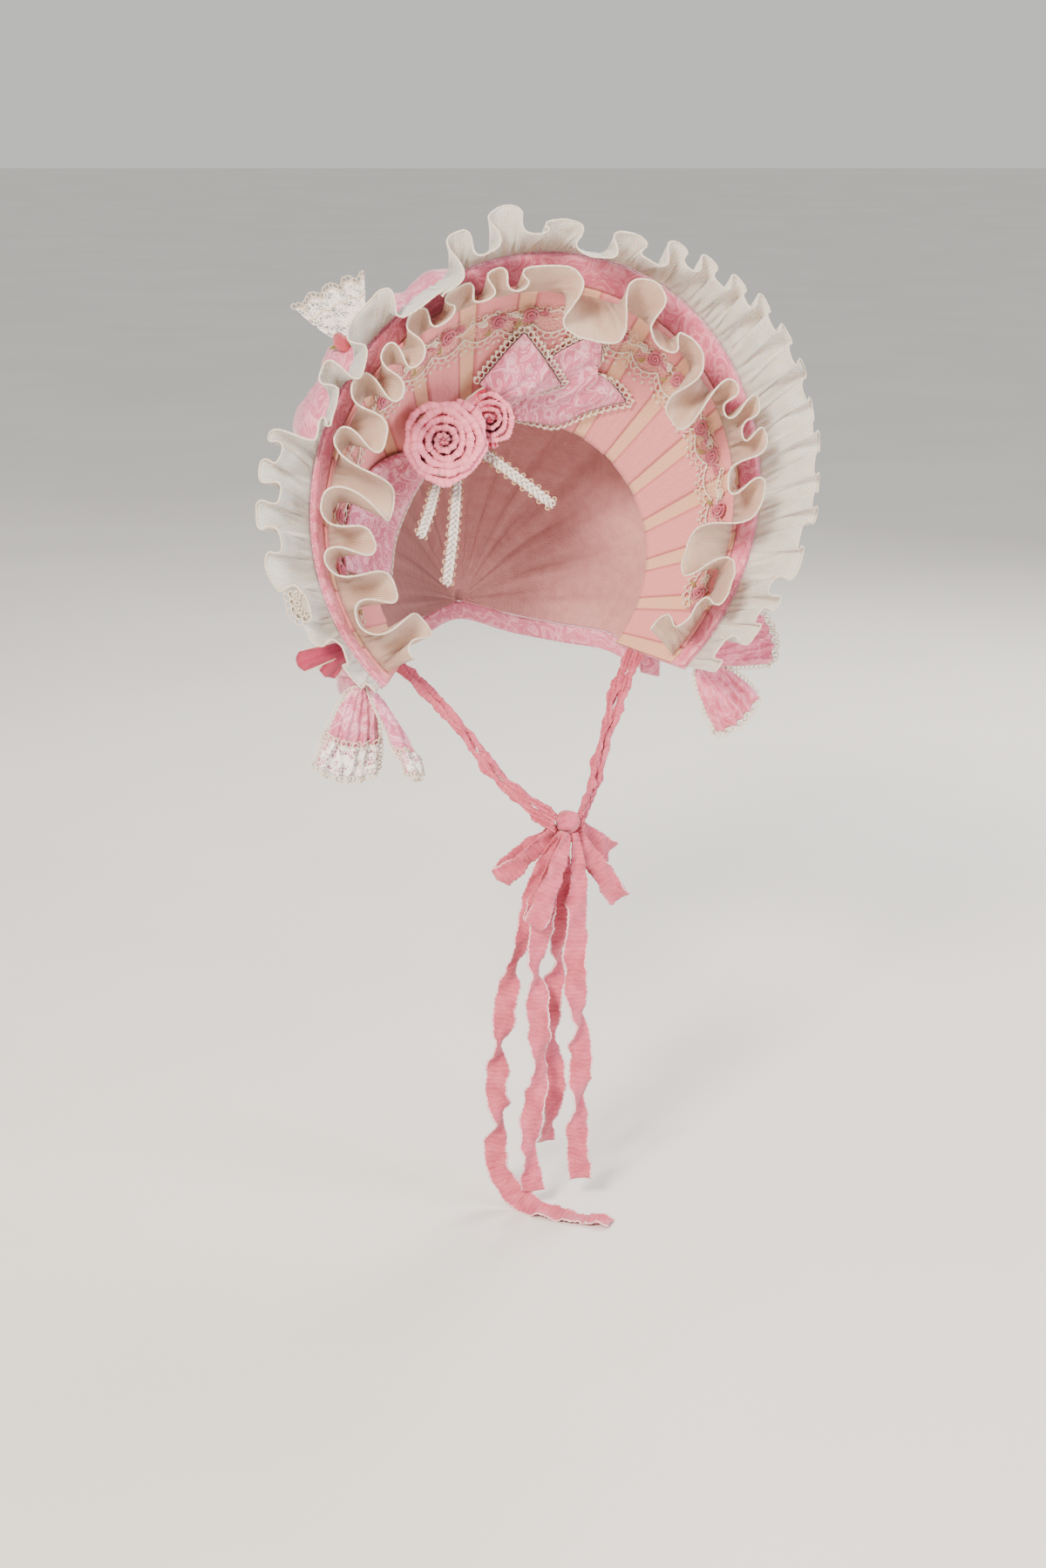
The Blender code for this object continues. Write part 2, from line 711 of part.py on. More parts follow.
def lobe(name, root, along, across, length, root_width, end_width, puff, look):
    """Puffed ribbon loop or fan: narrow at its root, wide and rounded at its end."""
    root = np.asarray(root, float)
    along = unit(np.asarray(along, float))
    normal = unit(np.cross(along, np.asarray(across, float)))
    across = np.cross(normal, along)
    s = np.linspace(0, 1, 5)[:, None]
    t = np.linspace(-1, 1, 5)[None, :]
    width = root_width + (end_width - root_width) * s**0.8
    reach = length * s * (1 - 0.10 * t**2)
    thick = BOW_WALL / 2 + puff * np.sin(math.pi * np.clip(s, 0, 1) ** 0.8) * (1 - t**2)
    middle = root + reach[..., None] * along + (width * t / 2)[..., None] * across
    return slab(name, middle + thick[..., None] * normal, middle - thick[..., None] * normal, look)


def add_chin(looks):
    """Two straps a side, the knot, four loops and four tails of the chin ribbons."""
    look = looks["ribbon"]
    knot = np.array([KNOT_X, KNOT_Y, KNOT_Z])
    profile = [
        (KNOT_RADIUS * math.sin(a), -KNOT_RADIUS * math.cos(a))
        for a in np.linspace(0.35, math.pi - 0.35, 6)
    ]
    turned("chin_knot", profile, knot, (1.0, 0.0, 0.15), look, sides=10)
    for side, label in ((-1, "left"), (1, "right")):
        for order in (0, 1):
            share = STRAP_FROM + order * STRAP_SPACING / 0.058
            point, round_way, out_way, _ = brim_frame(side * 1.0, share)
            start = point + round_way * side * (GAP + 0.0002)
            end = knot + np.array([side * (KNOT_RADIUS + GAP), 0.0, (0.5 - order) * STRAP_WIDTH * 1.15])
            cheek = start * 0.62 + end * 0.38 + np.array([side * 0.004, 0.010, 0.006])
            jaw = start * 0.25 + end * 0.75 + np.array([side * 0.004, 0.010, -0.003])
            path = through([start, cheek, jaw, end], 10)
            across = unit(out_way * np.linspace(1, 0, 10)[:, None] + np.array([0, 0, 1.0]) * np.linspace(0, 1, 10)[:, None])
            strip(f"chin_strap_{label}_{order + 1}", path, across, np.full(10, STRAP_WIDTH), RIBBON_WALL, look)
    for number, (side, drop, layer) in enumerate(LOOP_ROWS, 1):
        reach = np.array([side, 0.0, drop]) * LOOP_LENGTH
        out = unit(reach)
        leave = unit(reach * 0.5 + np.array([0.0, layer * 2.0, 0.0]))
        root = knot + leave * (KNOT_RADIUS + GAP + RIBBON_WALL)
        far = knot + reach + np.array([0.0, layer, 0.0])
        depth = np.array([0.0, LOOP_DEPTH / 2, 0.0])
        rows = [
            root - depth * 0.25,
            root * 0.5 + far * 0.5 - depth,
            root * 0.1 + far * 0.9 - depth * 0.8,
            far + out * 0.002,
            root * 0.1 + far * 0.9 + depth * 0.8,
            root * 0.5 + far * 0.5 + depth,
            root + depth * 0.25,
        ]
        path = through(rows, 13)
        width = RIBBON_WIDTH * (0.30 + 0.70 * np.sin(np.linspace(0.0, math.pi, 13)) ** 0.5)
        across = np.tile(unit(np.cross(out, [0.0, 1.0, 0.0])), (13, 1))
        strip(f"chin_loop_{number}", path, across, width, RIBBON_WALL, look)
    tails = (TAIL_ONE_ROWS, TAIL_TWO_ROWS, TAIL_THREE_ROWS, TAIL_FOUR_ROWS)
    for number, rows in enumerate(tails, 1):
        table = np.array(rows)
        samples = 3 * (len(table) - 1) + 1
        read = through(table, samples)
        path = knot + np.stack([read[:, 1], -read[:, 2], -read[:, 0]], 1) * TAIL_LENGTH
        path[0] = knot + unit(path[0] - knot) * (KNOT_RADIUS + GAP + RIBBON_WALL * 0.5)
        way = unit(np.gradient(path, axis=0))
        level = unit(np.cross(way, [0.0, 1.0, 0.0]))
        lying = np.clip(np.abs(way[:, 2:3]) * 2.0, 0, 1)
        flat = unit(np.cross(way, [0.0, 0.0, 1.0]))
        base = unit(level * lying + flat * (1 - lying) * np.sign((flat * level).sum(axis=1, keepdims=True)))
        other = np.cross(way, base)
        turn = np.radians(read[:, 3:4])
        across = base * np.cos(turn) + other * np.sin(turn)
        width = np.full(samples, RIBBON_WIDTH)
        width[:6] *= np.linspace(0.28, 1.0, 6)
        strip(f"chin_tail_{number}", path, across, width, RIBBON_WALL, look)


def add_crown_trim(rows, looks):
    """Rosebuds, lace fan and lace flower on the outside of the crown and brim."""
    def on_crown(u, depth_share):
        """Point and outward normal on the crown."""
        across = (u + 1) / 2 * (rows.shape[1] - 1)
        column = int(across)
        place = depth_share * (rows.shape[0] - 1)
        row = int(place)
        corner = rows[row : row + 2, column : column + 2]
        point = (
            corner[0, 0] * (1 - place + row) * (1 - across + column)
            + corner[1, 0] * (place - row) * (1 - across + column)
            + corner[0, 1] * (1 - place + row) * (across - column)
            + corner[1, 1] * (place - row) * (across - column)
        )
        normal = unit(np.cross(corner[1, 0] - corner[0, 0], corner[0, 1] - corner[0, 0]))
        outward = point - np.array([0.0, point[1], -0.04])
        return point, normal * np.sign(np.dot(normal, outward))

    bud = [
        (BUD_RADIUS * r, BUD_LENGTH * d)
        for r, d in ((0.35, 0.0), (0.80, 0.18), (1.0, 0.45), (0.85, 0.72), (0.40, 1.0))
    ]
    for number, (u, share) in enumerate(CROWN_BUDS, 1):
        point, normal = on_crown(u, share)
        turned(f"rosebud_{number}", bud, point + normal * (CROWN_WALL / 2 + GAP + 0.0003), normal, looks["bud"], sides=8)
    for number, u in enumerate(BRIM_BUDS, len(CROWN_BUDS) + 1):
        point, _, out_way, normal = brim_frame(u, 0.93)
        axis = unit(out_way * BUD_LEAN - normal)
        seat = point - normal * (BRIM_WALL / 2 + GAP + 0.0014)
        turned(f"rosebud_{number}", bud, seat, axis, looks["bud"], sides=8)
    point, normal = on_crown(-0.33, 0.43)
    lobe(
        "lace_fan",
        point + normal * (CROWN_WALL / 2 + GAP + 0.0006),
        unit(normal + np.array([0.12, 0.05, 0.30])),
        (0.55, -0.25, 0.80),
        FAN_LENGTH,
        FAN_WIDTH * 0.35,
        FAN_WIDTH,
        0.0,
        looks["white_lace"],
    )
    point, _ = on_crown(-0.83, 0.30)
    normal = unit(np.array([-0.775, -0.595, -0.213]))
    flower = [
        (FLOWER_RADIUS * r, FLOWER_DEPTH * d)
        for r, d in ((0.55, 0.0), (1.0, 0.35), (0.95, 0.7), (0.45, 1.0))
    ]
    turned(
        "lace_flower",
        flower,
        point + normal * (CROWN_WALL / 2 + GAP + 0.0021),
        normal,
        looks["lace"],
        sides=15,
        lobes=5,
        lobe_depth=0.06,
    )


def add_side_bows(looks):
    """Small bows under both outer corners of the brim."""
    for side, label in ((-1, "left"), (1, "right")):
        point, _, _, normal = brim_frame(side * SIDE_BOW_AT, 0.90)
        knot = point - normal * (BRIM_WALL / 2 + GAP + SIDE_KNOT_RADIUS)
        profile = [
            (SIDE_KNOT_RADIUS * math.sin(a), -SIDE_KNOT_RADIUS * math.cos(a))
            for a in np.linspace(0.3, math.pi - 0.3, 5)
        ]
        turned(f"side_bow_{label}_knot", profile, knot, (0.0, 0.3, 1.0), looks["damask"], sides=10)
        if side < 0:
            loops = (
                ("fan", (-0.16, 0.06, -0.98), (0.98, 0.10, -0.16), 0.058, 0.042),
                ("wing", (0.46, -0.14, -0.88), (0.35, 0.90, 0.10), 0.064, 0.028),
            )
        else:
            loops = (
                ("upper", (0.92, 0.10, 0.16), (-0.16, 0.20, 0.96), 0.050, 0.034),
                ("lower", (0.62, 0.02, -0.78), (0.78, 0.10, 0.62), 0.048, 0.038),
            )
        for part, along, across, length, width in loops:
            way = unit(np.array(along))
            root = knot + way * (SIDE_KNOT_RADIUS + GAP)
            lobe(f"side_bow_{label}_{part}", root, along, across, length, 0.006, width, SIDE_BOW_PUFF, looks["bow_lace"])
    point, round_way, out_way, normal = brim_frame(-0.90, 0.90)
    seat = point - normal * (BRIM_WALL / 2 + GAP + 0.0004)
    lobe("satin_loop", seat, (-0.78, 0.35, -0.50), (0.45, 0.10, 0.85), 0.036, 0.008, 0.015, 0.003, looks["satin"])


def clear_scene():
    """Remove every object of the opened scene."""
    for item in list(bpy.data.objects):
        bpy.data.objects.remove(item, do_unlink=True)


def main():
    """Build the whole bonnet."""
    clear_scene()
    looks = {
        "damask": material("damask rose", "#D88FA3", 0.55),
        "lining": material("pleated cotton", "#D9938F", 0.80),
        "cream_chiffon": material("cream chiffon", "#D8BFAB", 0.75),
        "white_chiffon": material("white chiffon", "#E6DFE2", 0.75),
        "lace": material("cream lace", "#EAD3B5", 0.80),
        "white_lace": material("white lace", "#F2EFEA", 0.80),
        "rose": material("crinkled rose cotton", "#F29AAE", 0.75),
        "braid": material("white braid", "#F0E6E0", 0.70),
        "bow_lace": material("lace over damask", "#E3B5B5", 0.65),
        "satin": material("deep pink satin", "#B02850", 0.35),
        "bud": material("rosebud satin", "#E0606F", 0.50),
        "ribbon": material("crinkled chin ribbon", "#CF7C8C", 0.70),
    }
    add_band("brim", 0.0, 1.0, -BRIM_WALL / 2, BRIM_WALL, looks["damask"])
    add_lining(looks["lining"])
    add_band("facing_ring", RING_FROM, 1.0, LINING_BACK, RING_WALL, looks["damask"])
    add_lace(looks["lace"])
    outer_foot = GAP + CHIFFON_WALL * 0.2
    outer = ruffle_grid(1.0, outer_foot, OUTER_RUFFLE_HEIGHT, OUTER_RUFFLE_ROWS, False)
    sheet("outer_ruffle", outer, CHIFFON_WALL, looks["white_chiffon"])
    inner = ruffle_grid(INNER_RUFFLE_AT, RUFFLE_FOOT, INNER_RUFFLE_HEIGHT, INNER_RUFFLE_ROWS, True)
    sheet("inner_ruffle", inner, CHIFFON_WALL, looks["cream_chiffon"])
    rows, pole = add_crown(looks["damask"])
    add_nape_band(rows, pole, looks["damask"])
    tail_back = BOW_BACK
    loop_back = tail_back + BOW_WALL + GAP + FACET_ROOM * 2
    slab("bow_loop", *panel_grids(BOW_LOOP_ROWS, 5, loop_back, BOW_WALL, puff=BOW_LOOP_PUFF), looks["damask"])
    slab("bow_tail", *panel_grids(BOW_TAIL_ROWS, 5, tail_back, BOW_WALL, notch=BOW_TAIL_NOTCH), looks["damask"])
    slab("bow_panel", *panel_grids(BOW_PANEL_ROWS, 5, BOW_BACK, BOW_WALL, scoop=BOW_SCOOP), looks["damask"])
    rose_back, rose_axis = add_rose(
        "rose_large", ROSE_LARGE_AT, ROSE_LARGE_RADIUS, ROSE_LARGE_DEPTH, ROSE_LARGE_STAND, looks["rose"]
    )
    add_rose("rose_small", ROSE_SMALL_AT, ROSE_SMALL_RADIUS, ROSE_SMALL_DEPTH, ROSE_SMALL_STAND, looks["rose"])
    for number, route in enumerate(BRAID_ROUTES, 1):
        add_braid(f"braid_{number}", route, rose_back, rose_axis, looks["braid"])
    add_crown_trim(rows, looks)
    add_side_bows(looks)
    add_chin(looks)


if __name__ == "__main__":
    main()
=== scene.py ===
"""Ruffled damask bonnet: every visible piece, built round the fixed frame of the part.

Metres, +Z up, front of the bonnet toward -Y. The origin is the top of the head it sits on.
"""

import logging
import math
from dataclasses import dataclass, field
from enum import Enum
from typing import Any, Sequence

import bpy
import numpy as np
from mathutils import Matrix, Vector
from numpy.typing import NDArray


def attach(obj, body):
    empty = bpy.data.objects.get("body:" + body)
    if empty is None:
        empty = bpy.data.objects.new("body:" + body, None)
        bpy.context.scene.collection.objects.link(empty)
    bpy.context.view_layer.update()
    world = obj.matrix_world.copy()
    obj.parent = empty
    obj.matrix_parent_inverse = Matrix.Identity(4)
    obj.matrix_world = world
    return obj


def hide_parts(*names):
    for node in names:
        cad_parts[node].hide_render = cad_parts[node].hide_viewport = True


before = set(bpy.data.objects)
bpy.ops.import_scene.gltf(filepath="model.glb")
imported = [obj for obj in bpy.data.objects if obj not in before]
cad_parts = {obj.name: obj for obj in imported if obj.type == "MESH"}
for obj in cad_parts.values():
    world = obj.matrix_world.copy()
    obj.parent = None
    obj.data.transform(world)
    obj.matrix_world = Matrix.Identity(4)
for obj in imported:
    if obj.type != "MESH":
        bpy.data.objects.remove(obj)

Array = NDArray[np.float64]
Part = tuple[Array, list, Array]
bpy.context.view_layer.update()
LOG = logging.getLogger("bonnet")
# Clearance between pieces, and room for the facets of the solids beneath
GAP = 0.0003
FACET_ROOM = 0.0002
# Share of each pleat that shows pink; the rest shows cream
PINK_SHARE = 0.68
DOWN = np.array([0.0, 0.0, -1.0])


class Held(Enum):
    """How a sheet of cloth is held."""

    GATHERED = "gathered"
    HUNG = "hung"
    LAID = "laid"
    FOLDED = "folded"


class Grain(Enum):
    """Which way the fine texture of a cloth runs."""

    WOVEN = "woven"
    CRINKLED = "crinkled"
    RIBBED = "ribbed"


# ---------------------------------------------------------------- curves and surfaces


def unit(vectors: Array) -> Array:
    """Return the vectors at length one."""
    return vectors / np.maximum(np.linalg.norm(vectors, axis=-1, keepdims=True), 1e-12)


def travelled(path: Array) -> Array:
    """Return the distance along a path at each of its points."""
    steps = np.linalg.norm(np.diff(path, axis=0), axis=-1)
    return np.concatenate([[0.0], np.cumsum(steps)])


def evenly(path: Array, count: int) -> Array:
    """Read a path at even distances.

    Args:
        path: points of the path, with any further columns after the first three.
        count: how many points to read.

    Returns:
        The read rows.
    """
    way = travelled(path[:, :3])
    at = np.linspace(0.0, way[-1], count)
    return np.stack([np.interp(at, way, path[:, k]) for k in range(path.shape[1])], 1)


def through(rows: Any, samples: int) -> Array:
    """Read a Catmull-Rom curve through rows of numbers at even steps.

    Args:
        rows: table of the points the curve passes; rows may hold grids too.
        samples: how many rows to return.

    Returns:
        The read rows.
    """
    rows = np.asarray(rows, float)
    last = len(rows) - 1
    at = np.linspace(0, last, samples)
    k = np.clip(at.astype(int), 0, last - 1)
    t = (at - k).reshape(-1, *[1] * (rows.ndim - 1))
    before = rows[np.clip(k - 1, 0, last)]
    start = rows[k]
    end = rows[k + 1]
    beyond = rows[np.clip(k + 2, 0, last)]
    return 0.5 * (
        2 * start
        + (end - before) * t
        + (2 * before - 5 * start + 4 * end - beyond) * t**2
        + (3 * start - before - 3 * end + beyond) * t**3
    )


def ripple(a: Array, b: Array, turns: float, shift: float = 0.0) -> Array:
    """Return uneven small waves over two parameters, between about -1 and 1.

    It is the mean of three sines whose turns and directions don't repeat together.
    """
    first = np.sin(turns * a + 1.7 * b + shift)
    second = np.sin(turns * 1.618 * a - 2.9 * b + 2.1 * shift + 1.0)
    third = np.sin(turns * 0.577 * a + 5.3 * b + 3.3 * shift + 2.0)
    return (first + second + third) / 3


def grid_faces(rows: int, columns: int, first: int = 0) -> Array:
    """Return the quads of a grid of points stored row by row."""
    index = np.arange(rows * columns).reshape(rows, columns) + first
    quads = [index[:-1, :-1], index[1:, :-1], index[1:, 1:], index[:-1, 1:]]
    return np.stack(quads, -1).reshape(-1, 4)


def surface_normals(grid: Array) -> Array:
    """Return the normal at each point of a grid: along its rows crossed with across them."""
    along = np.gradient(grid, axis=0)
    across = np.gradient(grid, axis=1)
    return unit(np.cross(along, across))


def flat_places(grid: Array) -> Array:
    """Return each grid point's place on the flat cloth in metres.

    The first number is the longest distance travelled along the rows, the second the
    distance travelled across at that row.
    """
    along = np.linalg.norm(np.diff(grid, axis=0), axis=-1).max(axis=1)
    across = np.cumsum(np.linalg.norm(np.diff(grid, axis=1), axis=-1), axis=1)
    u = np.concatenate([[0.0], np.cumsum(along)])
    v = np.concatenate([np.zeros((len(grid), 1)), across], axis=1)
    return np.stack([np.broadcast_to(u[:, None], v.shape), v], -1)


def flat_size(grid: Array) -> tuple[float, float]:
    """Return a grid's mean lengths along its columns and its rows."""
    down = np.linalg.norm(np.diff(grid, axis=0), axis=-1).sum(axis=0).mean()
    over = np.linalg.norm(np.diff(grid, axis=1), axis=-1).sum(axis=1).mean()
    return float(down), float(over)


def slab(front: Array, back: Array, places: Array | None = None) -> Part:
    """Close a front grid and a back grid round their edges.

    Args:
        front: grid whose normal, rows crossed with columns, points out.
        back: grid of the same size behind it.
        places: place of each point on the flat cloth, in metres.

    Returns:
        Points, faces and places of the closed mesh.
    """
    rows, columns = front.shape[:2]
    count = rows * columns
    index = np.arange(count).reshape(rows, columns)
    border = np.concatenate([index[:-1, 0], index[-1, :-1], index[:0:-1, -1], index[0, :0:-1]])
    following = np.roll(border, -1)
    rim = np.stack([following, border, border + count, following + count], -1)
    faces = [grid_faces(rows, columns), grid_faces(rows, columns, count)[:, ::-1], rim]
    places = flat_places(front) if places is None else places
    points = np.concatenate([front.reshape(-1, 3), back.reshape(-1, 3)])
    return points, faces, np.concatenate([places.reshape(-1, 2)] * 2)


def cloth(grid: Array, wall: float, places: Array | None = None) -> Part:
    """Thicken a grid of middle points to a closed sheet, half the wall to each side."""
    shift = surface_normals(grid) * wall / 2
    return slab(grid + shift, grid - shift, places)


def threads(paths: Array, ups: Array, radius: Any, sides: int = 6, closed: bool = False) -> Part:
    """Carry a circle along many paths at once.

    At each point the circle lies in the plane of the up vector and the vector square to
    both it and the path: path + radius * (cos(a) * side + sin(a) * up).

    Args:
        paths: points, as paths by points by three.
        ups: a vector at each point that isn't along its path.
        radius: one radius, or one for each point.
        sides: corners of the circle.
        closed: whether each path ends where it starts.

    Returns:
        Points, faces and places of the tubes.
    """
    number, length = paths.shape[:2]
    if closed:
        way = np.roll(paths, -1, axis=1) - np.roll(paths, 1, axis=1)
    else:
        way = np.gradient(paths, axis=1)
    way = unit(way)
    side = unit(np.cross(way, np.broadcast_to(ups, paths.shape)))
    up = np.cross(side, way)
    angle = np.arange(sides) * 2 * math.pi / sides
    reach = np.broadcast_to(np.asarray(radius, float), (number, length))[..., None, None]
    ring = side[:, :, None] * np.cos(angle)[:, None] + up[:, :, None] * np.sin(angle)[:, None]
    points = paths[:, :, None] + reach * ring
    index = np.arange(number * length * sides).reshape(number, length, sides)
    ahead = np.roll(index, -1, axis=1) if closed else index[:, 1:]
    here = index if closed else index[:, :-1]
    quads = [here, ahead, np.roll(ahead, -1, axis=2), np.roll(here, -1, axis=2)]
    faces = [np.stack(quads, -1).reshape(-1, 4)]
    if not closed:
        faces += [index[:, 0], index[:, -1, ::-1]]
    far = np.linalg.norm(np.diff(paths, axis=1), axis=-1).cumsum(axis=1)
    far = np.concatenate([np.zeros((number, 1)), far], axis=1)
    round_it = np.broadcast_to(angle * 0.001, points.shape[:3])
    places = np.stack([np.broadcast_to(far[..., None], points.shape[:3]), round_it], -1)
    return points.reshape(-1, 3), faces, places.reshape(-1, 2)


def turned(profile: Array, centre: Array, axis: Array, swell: Any, sides: int = 48) -> Part:
    """Turn a profile of (radius, distance) rows round an axis, with its two poles closed.

    Args:
        profile: rows of radius and distance along the axis.
        centre: where distance is nought.
        axis: direction of the axis.
        swell: function of angle and height share that multiplies the radius.
        sides: points round the axis.

    Returns:
        Points, faces and places of the closed mesh.
    """
    across, up, along = frame_on(axis)
    angle = np.arange(sides) * 2 * math.pi / sides
    share = np.linspace(0, 1, len(profile))[:, None]
    radius = profile[:, :1] * swell(angle[None, :], share)
    rings = (
        centre
        + radius[..., None] * np.cos(angle)[None, :, None] * across
        + radius[..., None] * np.sin(angle)[None, :, None] * up
        + (profile[:, 1:2] * np.ones(sides))[..., None] * along
    )
    count = len(profile)
    ends = np.stack([centre + along * profile[0, 1], centre + along * profile[-1, 1]])
    points = np.concatenate([rings.reshape(-1, 3), ends])
    index = np.arange(count * sides).reshape(count, sides)
    after = np.roll(index, -1, axis=1)
    quads = np.stack([index[:-1], after[:-1], after[1:], index[1:]], -1).reshape(-1, 4)
    first = np.stack([np.full(sides, count * sides), after[0], index[0]], -1)
    last = np.stack([np.full(sides, count * sides + 1), index[-1], after[-1]], -1)
    u = np.broadcast_to(angle * float(profile[:, 0].max()), (count, sides))
    v = np.broadcast_to(travelled(profile)[:, None], (count, sides))
    places = np.concatenate([np.stack([u, v], -1).reshape(-1, 2), np.zeros((2, 2))])
    return points, [quads, first, last], places


def ball(radius: float, open_angle: float, count: int) -> Array:
    """Return the profile of a ball, up to an open angle short of its poles."""
    angle = np.linspace(open_angle, math.pi - open_angle, count)
    return np.stack([np.sin(angle), -np.cos(angle)], 1) * radius


def frame_on(axis: Array) -> tuple[Array, Array, Array]:
    """Return two unit vectors square to an axis, and the axis itself."""
    along = Vector(axis).normalized()
    turn = along.to_track_quat("Z", "Y").to_matrix()
    return np.array(turn.col[0]), np.array(turn.col[1]), np.array(along)


@dataclass
class Shape:
    """Parts that become one mesh, each with the number of its finish."""

    points: list[Array] = field(default_factory=list)
    faces: list[Array] = field(default_factory=list)
    places: list[Array] = field(default_factory=list)
    looks: list[Array] = field(default_factory=list)
    count: int = 0

    def add(self, part: Part, *looks: int) -> "Shape":
        """Add a part and return the shape.

        Args:
            part: points, faces and places.
            looks: number of the finish, or one number for each group of faces.

        Returns:
            The shape itself.
        """
        points, faces, places = part
        self.points.append(points)
        self.places.append(places)
        looks = looks or (0,)
        for order, group in enumerate(faces):
            self.faces.append(np.asarray(group) + self.count)
            self.looks.append(np.full(len(group), looks[min(order, len(looks) - 1)]))
        self.count += len(points)
        return self

    def piece(
        self,
        name: str,
        finishes: Sequence["Finish"],
        slot: str,
        replaces: Sequence[str] = (),
        sheet: tuple[tuple[float, float], Held] | None = None,
        cut: float = 1.0,
        fill: float = 0.0,
        trims: Sequence[bpy.types.Object] = (),
    ) -> bpy.types.Object:
        """Make the mesh, dress it and let it ride.

        Args:
            name: the piece's name.
            finishes: finishes, in the order of the parts' numbers.
            slot: material slot of the record; not used.
            replaces: nodes that the piece stands for.
            sheet: flat size in metres and the way it is held, for a sheet of cloth; not used.
            cut: share of that flat size which the cut panel fills; not used.
            fill: how full a puffed piece is, from 0 to 1; not used.
            trims: separate pieces sewn to the sheet; not used.

        Returns:
            The finished object.
        """
        mesh = bpy.data.meshes.new(name)
        points = np.concatenate(self.points)
        corners = np.concatenate([group.reshape(-1) for group in self.faces]).astype(np.int32)
        sizes = np.concatenate([np.full(len(g), g.shape[1]) for g in self.faces])
        starts = np.concatenate([[0], np.cumsum(sizes)[:-1]]).astype(np.int32)
        mesh.vertices.add(len(points))
        mesh.vertices.foreach_set("co", points.reshape(-1).astype(np.float32))
        mesh.loops.add(len(corners))
        mesh.loops.foreach_set("vertex_index", corners)
        mesh.polygons.add(len(starts))
        mesh.polygons.foreach_set("loop_start", starts)
        mesh.polygons.foreach_set("material_index", np.concatenate(self.looks).astype(np.int32))
        mesh.update(calc_edges=True)
        layer = mesh.uv_layers.new(name="flat")
        places = np.concatenate(self.places)[corners]
        layer.data.foreach_set("uv", places.reshape(-1).astype(np.float32))
        mesh.shade_smooth()
        mesh.validate()
        for finish in finishes:
            mesh.materials.append(finish.material())
        made = bpy.data.objects.new(name, mesh)
        bpy.context.scene.collection.objects.link(made)
        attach(made, "root")
        if replaces:
            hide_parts(*replaces)
        LOG.info("%s: %d faces", name, len(starts))
        return made


# ---------------------------------------------------------------- finishes


def linear(colour: str) -> tuple[float, float, float, float]:
    """Turn an sRGB hex colour to linear values with full alpha."""
    values = [int(colour[i : i + 2], 16) / 255 for i in (1, 3, 5)]
    turned_back = [v / 12.92 if v <= 0.04045 else ((v + 0.055) / 1.055) ** 2.4 for v in values]
    return (*turned_back, 1.0)


def add_node(tree: Any, kind: str, settings: dict | None = None, links: dict | None = None) -> Any:
    """Add a node, set its properties and sockets, and link its inputs.

    Args:
        tree: node tree to add to.
        kind: the node's type name.
        settings: property or input names with their values.
        links: input names or numbers with the output sockets that feed them.

    Returns:
        The new node.
    """
    node = tree.nodes.new(kind)
    for key, value in (settings or {}).items():
        if isinstance(key, int) or key in node.inputs:
            node.inputs[key].default_value = value
        else:
            setattr(node, key, value)
    for key, socket in (links or {}).items():
        tree.links.new(socket, node.inputs[key])
    return node


def add_ramp(tree: Any, value: Any, stops: Sequence[tuple[float, str]]) -> Any:
    """Add a colour ramp through the given stops, fed by a value, and return its colour."""
    ramp = add_node(tree, "ShaderNodeValToRGB", links={"Fac": value})
    elements = ramp.color_ramp.elements
    for place, colour in stops[2:]:
        elements.new(place)
    for element, (place, colour) in zip(elements, sorted(stops)):
        element.position = place
        element.color = linear(colour)
    return ramp.outputs["Color"]


def feed(tree: Any, node: Any, values: dict) -> None:
    """Feed inputs by number: numbers and hex colours are set, and sockets are linked."""
    for number, value in values.items():
        value = linear(value) if isinstance(value, str) else value
        if isinstance(value, (float, tuple)):
            node.inputs[number].default_value = value
        else:
            tree.links.new(value, node.inputs[number])


def add_math(tree: Any, operation: str, *values: Any) -> Any:
    """Add a math node over one or two sockets or numbers, and return its result."""
    node = add_node(tree, "ShaderNodeMath", {"operation": operation})
    feed(tree, node, dict(enumerate(values)))
    return node.outputs[0]


def add_mix(tree: Any, share: Any, first: Any, second: Any, blend: str = "MIX") -> Any:
    """Mix two colours, sockets or hex, by a share, and return the result."""
    node = add_node(tree, "ShaderNodeMix", {"data_type": "RGBA", "blend_type": blend})
    feed(tree, node, {0: share, 6: first, 7: second})
    return node.outputs[2]


def add_noise(tree: Any, place: Any, scale: float, detail: float, **more: float) -> Any:
    """Add a noise texture over a place and return its value."""
    settings = {"Scale": scale, "Detail": detail, **more}
    return add_node(tree, "ShaderNodeTexNoise", settings, {"Vector": place}).outputs["Fac"]


def add_bands(tree: Any, place: Any, way: str, pitch: float, bend: float, detail: float) -> Any:
    """Add wave bands, one every pitch metres along X or Y, and return their value."""
    scale = 2 * math.pi / 20 / pitch
    settings = {"bands_direction": way, "Scale": scale, "Distortion": bend, "Detail": detail}
    return add_node(tree, "ShaderNodeTexWave", settings, {"Vector": place}).outputs["Fac"]


def stretched(tree: Any, place: Any, scale: tuple[float, float, float]) -> Any:
    """Return a place with its axes scaled."""
    settings = {"Scale": scale}
    return add_node(tree, "ShaderNodeMapping", settings, {"Vector": place}).outputs["Vector"]


def part_of(tree: Any, place: Any, axis: str) -> Any:
    """Return one number of a place."""
    return add_node(tree, "ShaderNodeSeparateXYZ", links={"Vector": place}).outputs[axis]


